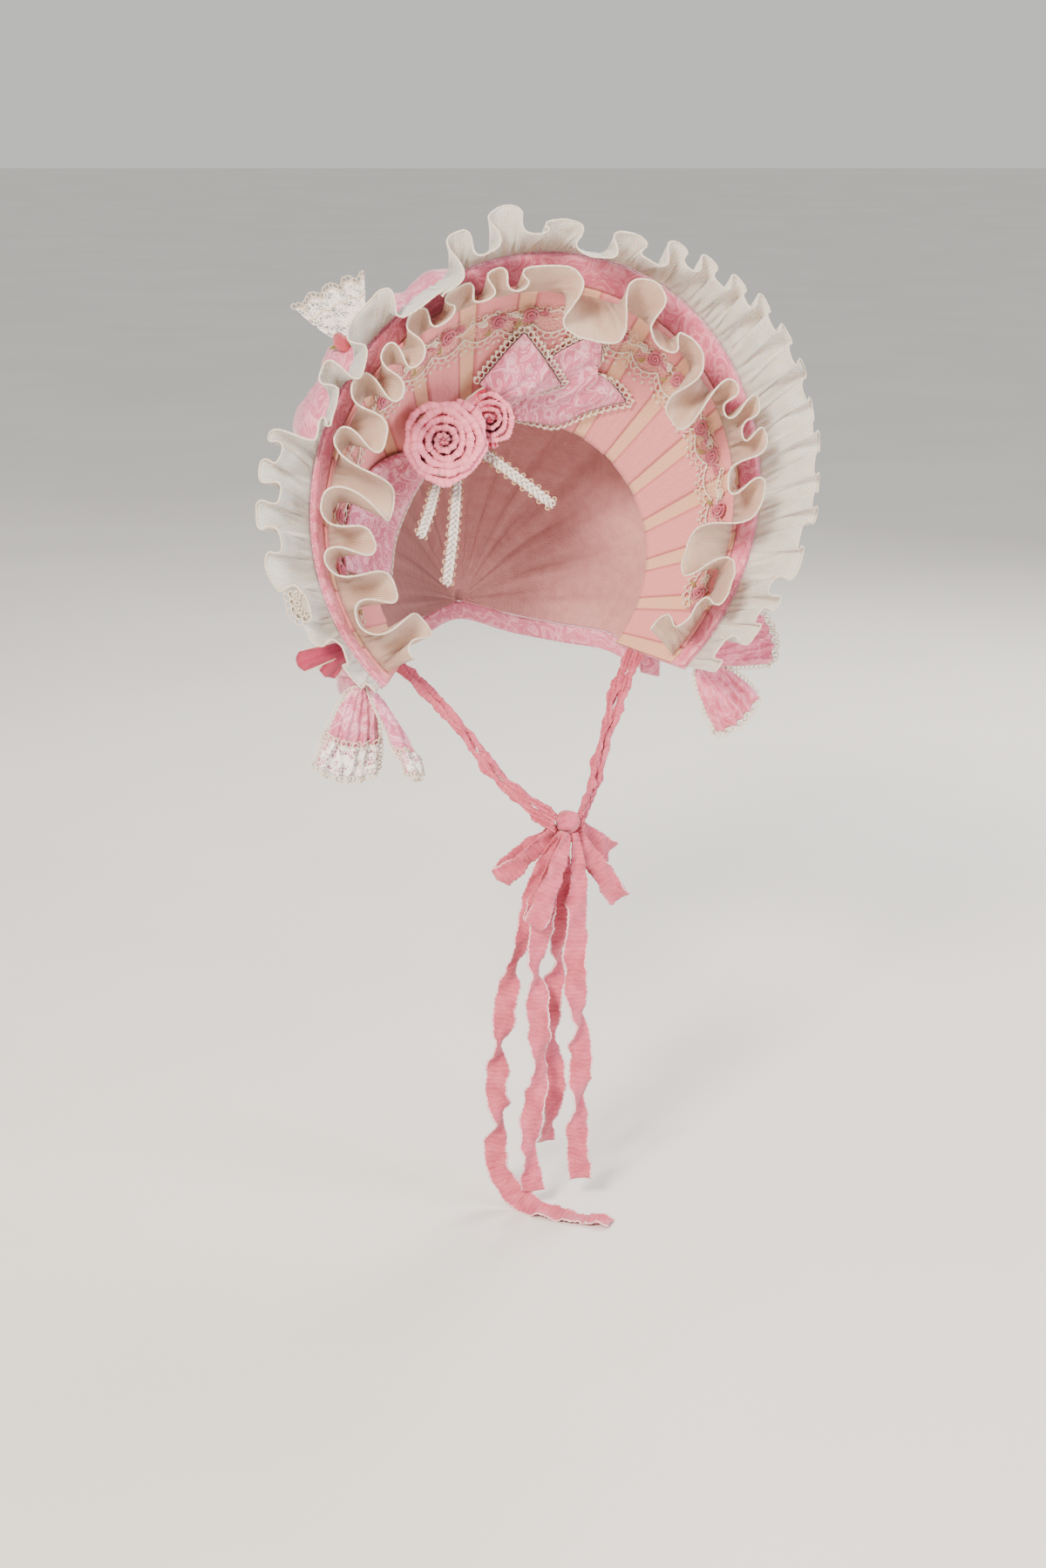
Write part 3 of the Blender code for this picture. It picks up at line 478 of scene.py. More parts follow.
@dataclass(frozen=True)
class Finish:
    """Surface of one kind of cloth: its name, colours and the light it takes."""

    name: str
    colour: str
    shade: str
    roughness: float = 0.75
    sheen: float = 0.3
    alpha: float = 1.0
    grain: Grain = Grain.WOVEN
    pitch: float = 0.0009
    depth: float = 0.0002
    through_light: float = 0.0

    def material(self) -> bpy.types.Material:
        """Return the finish's material, made once."""
        known = bpy.data.materials.get(self.name)
        if known:
            return known
        made = bpy.data.materials.new(self.name)
        made.use_nodes = True
        made.diffuse_color = linear(self.colour)
        tree = made.node_tree
        shader = tree.nodes["Principled BSDF"]
        for socket, value in (
            ("Roughness", self.roughness),
            ("Sheen Weight", self.sheen),
            ("Sheen Roughness", 0.4),
            ("Alpha", self.alpha),
            ("Subsurface Weight", self.through_light),
            ("Subsurface Scale", 0.004),
        ):
            shader.inputs[socket].default_value = value
        place = add_node(tree, "ShaderNodeUVMap", {"uv_map": "flat"}).outputs["UV"]
        tree.links.new(self.colouring(tree, place), shader.inputs["Base Color"])
        strength = {"Strength": 0.9, "Distance": self.depth}
        bump = add_node(tree, "ShaderNodeBump", strength, {"Height": self.relief(tree, place)})
        tree.links.new(bump.outputs["Normal"], shader.inputs["Normal"])
        return made

    def colouring(self, tree: Any, place: Any) -> Any:
        """Return the colour: soft clouds between the cloth's colour and its shade."""
        cloud = add_noise(tree, place, 110.0, 4.0, Roughness=0.6)
        return add_ramp(tree, cloud, [(0.32, self.shade), (0.62, self.colour)])

    def relief(self, tree: Any, place: Any) -> Any:
        """Return the height of the fine texture, at the cloth's own pitch."""
        if self.grain is Grain.CRINKLED:
            creases = stretched(tree, place, (1.0, 0.35, 1.0))
            return add_noise(tree, creases, 0.45 / self.pitch, 3.0, Distortion=0.8)
        bands = [add_bands(tree, place, way, self.pitch, 1.2, 1.0) for way in ("X", "Y")]
        return bands[0] if self.grain is Grain.RIBBED else add_math(tree, "ADD", *bands)


@dataclass(frozen=True)
class Damask(Finish):
    """Rayon damask: a satin ground with leafy scrolls drawn by lighter floats."""

    light: str = "#EFB2C2"
    line: str = "#C05A78"
    scroll: float = 0.015

    def scrolls(self, tree: Any, place: Any) -> tuple[Any, Any]:
        """Return the leaf field, a bent noise, and the turns of the scroll lines on it."""
        leaves = add_noise(tree, place, 1.0 / self.scroll, 0.6, Distortion=1.5)
        return leaves, add_math(tree, "PINGPONG", add_math(tree, "MULTIPLY", leaves, 9.0), 0.5)

    def colouring(self, tree: Any, place: Any) -> Any:
        """Return the colour: ground, paler leaves and thin lines that run round them."""
        leaf, turn = self.scrolls(tree, place)
        colours = (self.shade, self.colour, self.light, self.colour, self.shade)
        base = add_ramp(tree, leaf, list(zip((0.40, 0.49, 0.50, 0.55, 0.60), colours)))
        for stops, strength, colour in (
            ([(0.02, "#FFFFFF"), (0.11, "#000000")], 0.75, self.light),
            ([(0.40, "#000000"), (0.48, "#FFFFFF")], 0.55, self.line),
        ):
            line = add_math(tree, "MULTIPLY", add_ramp(tree, turn, stops), strength)
            base = add_mix(tree, line, base, colour)
        return base

    def relief(self, tree: Any, place: Any) -> Any:
        """Return the height: raised leaves over crinkles of the satin ground."""
        leaf, _ = self.scrolls(tree, place)
        creases = add_noise(tree, place, 420.0, 3.0, Distortion=0.6)
        return add_math(tree, "ADD", leaf, add_math(tree, "MULTIPLY", creases, 0.55))


@dataclass(frozen=True)
class PleatedCotton(Finish):
    """Crinkled cotton in two colours, with painted shade at the pleats' folds: the first number of
    a place counts the pleats.
    """

    second: str = "#DFAA8C"
    # Painted shade: the dark line at each pleat's folds
    crease: str = "#B0585E"
    pink_share: float = PINK_SHARE

    def colouring(self, tree: Any, place: Any) -> Any:
        """Return pink on each pleat's upper face and cream on its lower one, with painted shade
        where the faces fold.
        """
        turn = add_math(tree, "FRACT", part_of(tree, place, "X"))
        # The shade stop and the crease stops paint shade at the pleats' folds
        stops = [
            (0.0, self.shade),
            (0.06, self.colour),
            (self.pink_share - 0.03, self.colour),
            (self.pink_share + 0.01, self.crease),
            (self.pink_share + 0.05, self.second),
            (0.97, self.second),
            (1.0, self.crease),
        ]
        return add_ramp(tree, turn, stops)

    def relief(self, tree: Any, place: Any) -> Any:
        """Return fine crinkles that run from the head edge to the ring."""
        return add_noise(tree, stretched(tree, place, (16.0, 20.0, 1.0)), 1.6, 3.0, Distortion=0.3)


@dataclass(frozen=True)
class RolledGauze(Finish):
    """Crinkled gauze whose folded edge is pale and whose depths carry painted shade in deep pink.

    The second number of a place is a hundredth of the height share.
    """

    # Painted shade low between the rolls
    deep: str = "#D9506F"

    def colouring(self, tree: Any, place: Any) -> Any:
        """Return painted shade, deep pink low between the rolls, going to the cloth's pale colour
        at the folded edge.
        """
        share = add_math(tree, "MULTIPLY", part_of(tree, place, "Y"), 100.0)
        stops = [(0.0, self.deep), (0.45, self.deep), (0.78, self.shade), (0.97, self.colour)]
        return add_ramp(tree, share, stops)


@dataclass(frozen=True)
class RibbonGauze(Finish):
    """Crumpled gauze ribbon: the second number of a place is the distance from its middle."""

    edge: str = "#EFC0C6"
    half_width: float = 0.0072

    def colouring(self, tree: Any, place: Any) -> Any:
        """Return clouded pink with loose darker threads and frayed pale edges."""
        cloud = super().colouring(tree, place)
        lines = add_bands(tree, place, "X", 0.0031, 6.0, 3.0)
        thread = add_ramp(tree, lines, [(0.80, "#FFFFFF"), (0.97, "#D9A6AE")])
        woven = add_mix(tree, 0.4, cloud, thread, "MULTIPLY")
        off = add_math(tree, "ABSOLUTE", part_of(tree, place, "Y"))
        limits = {"From Min": self.half_width * 0.90, "From Max": self.half_width * 0.98}
        rim = add_node(tree, "ShaderNodeMapRange", limits, {"Value": off})
        return add_mix(tree, rim.outputs["Result"], woven, self.edge)


@dataclass(frozen=True)
class NetLace(Finish):
    """Cotton lace: dense motifs on an open net."""

    motif: float = 0.52
    bar: float = 0.16

    def material(self) -> bpy.types.Material:
        """Return the lace's material, with the net's meshes let through."""
        fresh = bpy.data.materials.get(self.name) is None
        made = super().material()
        if fresh:
            tree = made.node_tree
            place = next(n for n in tree.nodes if n.type == "UVMAP").outputs["UV"]
            mesh = {"feature": "DISTANCE_TO_EDGE", "Scale": 0.9 / self.pitch}
            cells = add_node(tree, "ShaderNodeTexVoronoi", mesh, {"Vector": place})
            dense = add_math(tree, "GREATER_THAN", add_noise(tree, place, 150.0, 1.0), self.motif)
            thread = add_math(tree, "LESS_THAN", cells.outputs["Distance"], self.bar)
            solid = add_math(tree, "MAXIMUM", dense, thread)
            tree.links.new(solid, tree.nodes["Principled BSDF"].inputs["Alpha"])
        return made


# Rayon damask has a soft lustre along its raised floats
DAMASK = Damask("rose rayon damask", "#DE829B", "#D0708B", 0.48, 0.35, depth=0.0008)
# The brim's damask darkened with painted shade, for the ring under the ruffle and the right side
# bows
PAINTED_SHADE_DAMASK = Damask(
    "rose rayon damask with painted shade", "#E07A92", "#D26882", 0.50, 0.3,
    depth=0.0008, light="#EDA0B2", line="#C0526E",
)
BOW_DAMASK = Damask(
    "pale rose rayon damask", "#DE859F", "#CB6A87", 0.42, 0.4,
    depth=0.0012, light="#F3C6D3", line="#B9526F",
)
# Crinkled cotton scatters light and shows fine lines along the pleats; the dark lines at its folds
# are painted shade
LINING = PleatedCotton("pleated crinkle cotton", "#E08B8C", "#C56C70", 0.85, 0.2, depth=0.0009)
PLAIN_COTTON = Finish("rose cotton", "#E3A3A2", "#D99494", 0.85, 0.2, pitch=0.0012, depth=0.0003)
# Silk chiffon is sheer, so light and what lies behind it show through
CREAM_CHIFFON = Finish(
    "cream silk chiffon", "#F0CDB5", "#E9BFA5", 0.7, 0.35, 0.80, Grain.RIBBED, 0.0013, 0.0006, 0.2
)
WHITE_CHIFFON = Finish(
    "white silk chiffon", "#FFF6ED", "#F8EBDD", 0.7, 0.45, 0.88, Grain.RIBBED, 0.0015, 0.0008, 0.3
)
# Cotton thread is matt and shows its twist as fine ribs
EDGE_THREAD = Finish(
    "cream overlock thread", "#F3E8D6", "#E3D0B5", 0.8, 0.3, 1.0, Grain.RIBBED, 0.0009, 0.0004
)
LACE_THREAD = Finish(
    "cream lace thread", "#FFF4E2", "#F5E4CC", 0.8, 0.4, 1.0, Grain.RIBBED, 0.0007, 0.0003
)
LACE_ROSE = Finish(
    "dusty rose thread", "#E27C90", "#D05E76", 0.75, 0.3, 1.0, Grain.RIBBED, 0.0008, 0.0005
)
LACE_LEAF = Finish("muted olive thread", "#B59C5C", "#9A8344", 0.75, 0.3)
BRAID_COTTON = Finish(
    "white braid cotton", "#F4EDE6", "#E2D5CA", 0.75, 0.3, 1.0, Grain.RIBBED, 0.0010, 0.0006
)
PICOT = Finish("biscuit picot thread", "#DDB893", "#C79C75", 0.75, 0.3)
# Dark line along the bow's lace edges: piping, and painted shadow along the lower edges
PIPING_AND_EDGE_SHADOW = Finish("dark wine piping and painted edge shadow", "#6A2A35", "#4F1D27", 0.6, 0.3)
# Net lace lets what lies behind it show between its threads
LACE_NET = NetLace(
    "cream net lace", "#F3D9C4", "#E8C8B0", 0.8, 0.3, pitch=0.0024, motif=0.90, bar=0.022
)
WHITE_NET = NetLace(
    "white net lace", "#FBF8F3", "#EEE8E0", 0.8, 0.3, pitch=0.0019, motif=0.50, bar=0.10
)
# Crinkled gauze is matt and pale on its folded edges; the deep pink in its folds is painted shade
ROSE_GAUZE = RolledGauze(
    "crinkled rose gauze", "#F58DA3", "#EC6683", 0.8, 0.3, 1.0, Grain.CRINKLED,
    0.0011, 0.0030, 0.1, deep="#C4284C",
)
ROSE_BACK = Finish(
    "rose gauze backing", "#E56683", "#D24A69", 0.8, 0.3, 1.0, Grain.CRINKLED, 0.0010, 0.0012
)
CHIN_RIBBON = RibbonGauze(
    "crumpled gauze chin ribbon", "#D4687C", "#BC4F66", 0.75, 0.3, 1.0, Grain.CRINKLED,
    0.0011, 0.0014,
)
KNOT_GAUZE = Finish(
    "crumpled gauze knot", "#D0637A", "#B84B62", 0.75, 0.3, 1.0, Grain.CRINKLED, 0.0011, 0.0016
)
# Glass seed beads are smooth and catch small bright spots, and satin has a broad shine
ROSE_BEAD = Finish(
    "deep pink glass beads", "#D2486A", "#B02C50", 0.15, 0.0, pitch=0.0006, depth=0.00005
)
SATIN = Finish("deep pink satin", "#B42C53", "#94203F", 0.32, 0.2, pitch=0.0005, depth=0.0001)
BUD_SATIN = Finish("rosebud satin", "#E2606F", "#C6465A", 0.42, 0.3, pitch=0.0005, depth=0.0002)
LEAF = Finish("olive ribbon", "#8C7D22", "#6C6118", 0.55, 0.2, pitch=0.0006)


# ---------------------------------------------------------------- the brim and what lies on it


@dataclass(frozen=True)
class Arch:
    """Horseshoe arch: u runs from -1 at the left tip over 0 at the apex to 1 at the right tip."""

    half_width: float
    end_angle: float
    top_y: float
    top_z: float
    tip_y: float
    tip_z: float

    def at(self, u: Any) -> Array:
        """Return the arch's points.

        x is half_width * sin(angle); y and z go from tip to top as the cosine rises.
        """
        end = math.radians(self.end_angle)
        angle = np.asarray(u, float) * end
        height = (np.cos(angle) - math.cos(end)) / (1 - math.cos(end))
        y = self.tip_y + (self.top_y - self.tip_y) * height
        z = self.tip_z + (self.top_z - self.tip_z) * height
        return np.stack([self.half_width * np.sin(angle), y, z], -1)


@dataclass(frozen=True)
class BrimForm:
    """Ruled surface between the head edge and the rim, and the layers that lie on it."""

    head: Arch = Arch(0.094, 130.0, 0.008, 0.004, 0.0, -0.147)
    rim: Arch = Arch(0.146, 137.0, -0.072, 0.112, -0.051, -0.155)
    wall: float = 0.0024
    lining_wall: float = 0.0012
    pleat_step: float = 0.0011
    ring_wall: float = 0.0020
    ring_from: float = 0.835
    lace_wall: float = 0.0010
    # Rough width from the head edge to the rim, at the apex and at the tips
    width: float = 0.08
    tip_width: float = 0.058

    @property
    def lining_back(self) -> float:
        """Lift of the lining's back over the brim's middle."""
        return self.wall / 2 + GAP

    @property
    def lining_front(self) -> float:
        """Lift of the highest face of the pleats."""
        return self.lining_back + self.lining_wall + self.pleat_step

    @property
    def lace_back(self) -> float:
        """Lift of the lace's back."""
        return self.lining_front + GAP + FACET_ROOM

    @property
    def ruffle_foot(self) -> float:
        """Lift of the inner ruffle's foot."""
        return max(self.lining_front, self.lining_back + self.ring_wall) + GAP + FACET_ROOM

    @property
    def bow_back(self) -> float:
        """Lift of the bow's back."""
        return self.lace_back + self.lace_wall + GAP

    def frame(self, u: Any, r: Any) -> tuple[Array, Array, Array, Array]:
        """Return point, way round, way out and front normal at (u, r)."""
        u, r = np.broadcast_arrays(np.asarray(u, float), np.asarray(r, float))
        share = r[..., None]
        step = 1e-3
        point, ahead, behind = (
            self.head.at(at) * (1 - share) + self.rim.at(at) * share
            for at in (u, u + step, u - step)
        )
        round_way = unit(ahead - behind)
        out_way = unit(self.rim.at(u) - self.head.at(u))
        return point, round_way, out_way, unit(np.cross(round_way, out_way))

    def at(self, u: Any, r: Any, lift: Any) -> Array:
        """Return the point at (u, r), lifted over the middle surface toward the face."""
        point, _, _, normal = self.frame(u, r)
        lift = np.broadcast_to(np.asarray(lift, float), point.shape[:-1])
        return point + normal * lift[..., None]


BRIM = BrimForm()


@dataclass
class BrimShell:
    """Stiffened brim, its pleated lining and the damask ring on its face."""

    columns: int = 289
    pleats: int = 16
    pleat_samples: int = 26
    pink_share: float = PINK_SHARE

    def mesh_brim(self) -> Shape:
        """Return the brim: the ruled surface with half the wall on each side."""
        u = np.linspace(-1, 1, self.columns)[:, None]
        r = np.linspace(0, 1, 13)[None, :]
        soft = 0.0004 * ripple(u * 30, r * 4, 3.0)
        front = BRIM.at(u, r, BRIM.wall / 2)
        back = BRIM.at(u, r, -BRIM.wall / 2 - np.abs(soft))
        return Shape().add(slab(front, back))

    def mesh_lining(self) -> tuple[Shape, tuple[float, float]]:
        """Return the knife pleats and the size of the cloth that shows.

        The lift steps up over each pleat's pink share and down over the rest, eased over a
        few hundredths of a pleat, and small crinkles follow each pleat.
        """
        turn = np.linspace(0, self.pleats, self.pleats * self.pleat_samples + 1)[:, None]
        r = np.linspace(0, BRIM.ring_from - GAP / BRIM.width, 25)[None, :]
        part = turn % 1.0
        rise = np.clip(part / 0.035, 0, 1) * np.clip((self.pink_share - part) / 0.03, 0, 1)
        sag = 0.16 * np.sin(math.pi * np.clip(part / self.pink_share, 0, 1))
        crease = 0.0002 * ripple(turn * 14.0, r * 5.0, 2.0)
        step = BRIM.pleat_step * (rise * (1 - sag))
        u = -1 + 2 * turn / self.pleats
        front = BRIM.at(u, r, BRIM.lining_back + BRIM.lining_wall + step + crease * rise)
        back = BRIM.at(u, r, np.full_like(step, BRIM.lining_back))
        places = np.stack(np.broadcast_arrays(turn, r * 1.0), -1)
        return Shape().add(slab(front, back, places)), flat_size(front)

    def mesh_ring(self) -> tuple[Shape, tuple[float, float]]:
        """Return the ring, a band that rounds off toward both its edges, and its flat size."""
        u = np.linspace(-1, 1, self.columns)[:, None]
        share = np.linspace(0, 1, 11)[None, :]
        r = BRIM.ring_from + (1 - BRIM.ring_from) * share
        crown = 1 - (2 * share - 1) ** 6 * 0.6
        soft = 0.00025 * ripple(u * 40, share * 3, 3.0, 1.0)
        front = BRIM.at(u, r, BRIM.lining_back + BRIM.ring_wall * crown + soft)
        back = BRIM.at(u, r, np.full_like(soft, BRIM.lining_back))
        return Shape().add(slab(front, back)), flat_size(front)

    def dress(self) -> None:
        """Make and dress the three pieces."""
        self.mesh_brim().piece("brim_damask", [DAMASK], "damask", ["brim"])
        lining, flat = self.mesh_lining()
        lining.piece("pleated_lining", [LINING], "lining", ["lining"], (flat, Held.FOLDED))
        ring, flat = self.mesh_ring()
        # The ring's darker damask is painted shade from the ruffle above it
        ring.piece("ring_damask", [PAINTED_SHADE_DAMASK], "damask", ["facing_ring"], (flat, Held.LAID))


# Columns: place round the brim, height share, lean forward in degrees
OUTER_TURNS = (
    (-0.995, 0.30, 4.0), (-0.950, 0.36, -20.0), (-0.905, 0.46, 12.0),
    (-0.860, 0.62, -22.0), (-0.825, 0.80, 4.0), (-0.755, 0.92, -28.0),
    (-0.722, 0.95, -4.0), (-0.688, 0.98, -32.0), (-0.650, 0.95, -2.0),
    (-0.632, 0.95, -30.0), (-0.592, 0.92, -8.0), (-0.575, 0.92, -28.0),
    (-0.560, 0.92, 24.0), (-0.500, 0.90, 34.0), (-0.455, 0.86, 4.0),
    (-0.435, 0.92, 42.0), (-0.365, 0.88, 6.0), (-0.260, 0.92, 48.0),
    (-0.205, 0.92, 52.0), (-0.172, 0.85, 2.0), (-0.135, 0.88, 38.0),
    (-0.085, 0.88, -8.0), (-0.040, 0.88, 32.0), (-0.010, 0.88, 18.0),
    (0.070, 0.88, 53.0), (0.120, 0.88, 22.0), (0.175, 0.90, 44.0),
    (0.210, 0.90, 10.0), (0.240, 0.92, 30.0), (0.270, 0.94, 4.0),
    (0.300, 0.95, 24.0), (0.335, 0.98, 0.0), (0.360, 1.00, 16.0),
    (0.387, 1.04, -8.0), (0.418, 1.05, 8.0), (0.450, 1.06, -14.0),
    (0.480, 1.05, 2.0), (0.513, 1.05, -24.0), (0.532, 1.05, 2.0),
    (0.575, 1.04, -14.0), (0.595, 1.04, -2.0), (0.615, 1.04, -24.0),
    (0.650, 1.02, -4.0), (0.680, 1.00, -20.0), (0.700, 1.00, -4.0),
    (0.725, 1.00, -22.0), (0.745, 1.00, 10.0), (0.800, 0.98, -4.0),
    (0.840, 0.92, 24.0), (0.857, 0.90, -2.0), (0.885, 0.88, 20.0),
    (0.910, 0.86, 6.0), (0.955, 0.84, 36.0), (0.995, 0.80, 18.0),
)

# Columns: place round the brim, height share, lean outward in degrees
INNER_TURNS = (
    (-0.985, 1.0, 40.0), (-0.930, 1.0, -10.0), (-0.870, 1.0, 62.0),
    (-0.800, 1.0, 8.0), (-0.750, 1.0, 72.0), (-0.705, 1.0, 22.0),
    (-0.655, 1.0, 72.0), (-0.580, 1.0, -20.0), (-0.535, 1.0, 70.0),
    (-0.490, 1.0, 24.0), (-0.430, 1.0, 74.0), (-0.395, 1.0, 30.0),
    (-0.360, 1.0, 68.0), (-0.325, 1.0, 36.0), (-0.280, 1.0, 72.0),
    (-0.245, 1.0, 48.0), (-0.190, 1.0, 68.0), (-0.148, 1.0, 46.0),
    (-0.115, 1.0, 70.0), (-0.085, 1.0, 46.0), (-0.045, 1.0, 64.0),
    (0.110, 1.0, -2.0), (0.185, 1.0, 68.0), (0.250, 1.0, 22.0),
    (0.310, 1.0, 46.0), (0.395, 1.0, -22.0), (0.440, 1.0, 56.0),
    (0.468, 1.0, 34.0), (0.500, 1.0, 72.0), (0.530, 1.0, 44.0),
    (0.560, 1.0, 70.0), (0.605, 1.0, 24.0), (0.660, 1.0, 62.0),
    (0.735, 1.0, -12.0), (0.850, 1.0, 50.0), (0.905, 1.0, 30.0),
    (0.985, 1.0, 8.0),
)


@dataclass
class Ruffle:
    """Gathered chiffon frill whose free edge swings between the turns of a table."""

    name: str
    node: str
    slot: str
    finish: Finish
    turns: tuple
    at: float
    foot: float
    height: float
    standing: bool
    sway: float = 0.30
    wall: float = 0.0004
    steps: int = 18
    rows: int = 17
    edge: float = 0.0006
    knot_step: float = 0.0022
    gather: float = 0.0016

    def grid(self) -> Array:
        """Return the frill's middle surface, along the foot by up the height.

        Between two turns the lean goes from one to the other as (1 - cos(pi t)) / 2, the
        cloth moves along the frill by sway * sin(2 pi t), and at height share h the lean is
        mean + (turn - mean) * sqrt(h). Narrow gathers fade out with the height.
        """
        places, shares, leans = np.array(self.turns).T
        heights = shares * self.height
        span = np.arange((len(places) - 1) * self.steps + 1) / self.steps
        k = np.clip(span.astype(int), 0, len(places) - 2)
        t = span - k
        blend = (1 - np.cos(math.pi * t)) / 2
        width = places[k + 1] - places[k]
        u = places[k] + width * t
        lean = np.radians(leans[k] * (1 - blend) + leans[k + 1] * blend)
        reached = heights[k] * (1 - blend) + heights[k + 1] * blend
        local = np.radians((leans[k] + leans[k + 1]) / 2)
        reach = 2 * self.steps
        window = np.ones(2 * reach + 1) / (2 * reach + 1)
        mean = np.convolve(np.pad(local, reach, "edge"), window, "valid")
        point, round_way, out_way, normal = BRIM.frame(u, self.at)
        stretch = np.linalg.norm(BRIM.frame(u + 0.01, self.at)[0] - point, axis=-1) / 0.01
        swing = (self.sway * width * stretch * np.sin(2 * math.pi * t))[:, None]
        up_way, side_way = (normal, out_way) if self.standing else (out_way, normal)
        share = np.linspace(0, 1, self.rows)[None, :]
        angle = mean[:, None] + (lean - mean)[:, None] * np.sqrt(share)
        fine = np.sin(u * 400 + 2.0 * np.sin(u * 37))[:, None]
        gather = self.gather * fine * np.exp(-1.7 * share) * np.clip(share * 6, 0, 1)
        curl = 0.0012 * ripple(u[:, None] * 75, share * 2.5, 2.0) * share
        rise = self.foot + reached[:, None] * share * np.cos(angle)
        side = reached[:, None] * share * np.sin(angle) + gather + curl
        return (
            point[:, None]
            + up_way[:, None] * rise[..., None]
            + side_way[:, None] * side[..., None]
            + round_way[:, None] * (swing * share)[..., None]
        )

    def dress(self) -> None:
        """Make the frill and the thick overlocked thread along its free edge."""
        grid = self.grid()
        free = grid[:, -1]
        length = float(travelled(free)[-1])
        foot = float(travelled(grid[:, 0])[-1])
        LOG.info("%s: free edge %.2f m gathered onto %.2f m", self.name, length, foot)
        line = evenly(free, int(length / self.knot_step))
        ups = evenly(unit(free - grid[:, -3]), len(line))
        knots = self.edge * (1 + 0.12 * np.cos(np.arange(len(line)) * math.pi))
        edge = Shape().add(threads(line[None], ups[None], knots[None], 8)).piece(
            f"{self.name}_edge", [EDGE_THREAD], self.slot
        )
        Shape().add(cloth(grid, self.wall)).piece(
            self.name,
            [self.finish],
            self.slot,
            [self.node],
            ((self.height, (length + foot) / 2), Held.GATHERED),
            trims=[edge],
        )


# ---------------------------------------------------------------- lace


@dataclass(frozen=True)
class Picots:
    """Row of thread rings: distance from ring to ring, outer width and thread radius."""

    pitch: float
    width: float
    thread: float


# Picots stand along an edge, and eyes are the smaller rings outside or inside them
SCALLOP_PICOTS = Picots(0.0054, 0.0050, 0.00038)
SCALLOP_EYES = Picots(0.0054, 0.0017, 0.00038)
VINE_PICOTS = Picots(0.0088, 0.0034, 0.00040)
BOW_PICOTS = Picots(0.0040, 0.0042, 0.00042)
BOW_EYES = Picots(0.0040, 0.0016, 0.00042)
BRAID_PICOTS = Picots(0.0056, 0.0026, 0.00055)
FAN_PICOTS = Picots(0.0034, 0.0038, 0.00045)
SIDE_PICOTS = Picots(0.0030, 0.0030, 0.0005)
SIDE_END_PICOTS = Picots(0.0040, 0.0048, 0.00055)
SIDE_NET_PICOTS = Picots(0.0040, 0.0036, 0.0005)
FLOWER_THREAD = 0.00055
PIPING_RADIUS = 0.0006
HEM_THREAD = 0.0007


def picot_rings(path: Array, side: Array, up: Array, size: Picots) -> Part:
    """Set small rings of thread side by side along a path.

    Ring k has its centre half a width to the side of the path, and its points are
    centre + width / 2 * (cos(a) * along + sin(a) * side).

    Args:
        path: points of the edge.
        side: way in which the rings stand out, one or one at each point.
        up: way off the surface, one or one at each point.
        size: size of the rings.

    Returns:
        The rings as closed tubes.
    """
    way = travelled(path)
    count = max(2, int(way[-1] / size.pitch))
    read = evenly(np.concatenate(np.broadcast_arrays(path, side, up), 1), count)
    centre, out, off = read[:, :3], unit(read[:, 3:6]), unit(read[:, 6:9])
    along = unit(np.gradient(centre, axis=0))
    angle = np.arange(10) * 2 * math.pi / 10
    ring = along[:, None] * np.cos(angle)[:, None] + out[:, None] * (np.sin(angle)[:, None] + 0.9)
    paths = centre[:, None] + ring * (size.width / 2)
    return threads(paths, np.broadcast_to(off[:, None], paths.shape), size.thread, 5, True)


def thread_line(path: Array, up: Array, radius: float, sides: int = 6) -> Part:
    """Lay one thread along a path, with one up vector or one at each point."""
    return threads(path[None], np.broadcast_to(up, path.shape)[None], radius, sides)


def spiral_rose(centre: Array, across: Array, along: Array, up: Array, radius: float) -> Part:
    """Coil a thick thread to a small flat rose.

    The coil's radius grows with its angle, and its height falls from the middle out.
    """
    angle = np.linspace(0.6, 5.2 * math.pi, 60)
    share = angle / angle[-1]
    wobble = 1 + 0.07 * np.sin(3.3 * angle)
    spread = radius * share * wobble
    path = (
        centre
        + across * (spread * np.cos(angle))[:, None]
        + along * (spread * np.sin(angle))[:, None]
        + up * (radius * 0.30 * (1 - share**2))[:, None]
    )
    return thread_line(path, up, radius * 0.15)


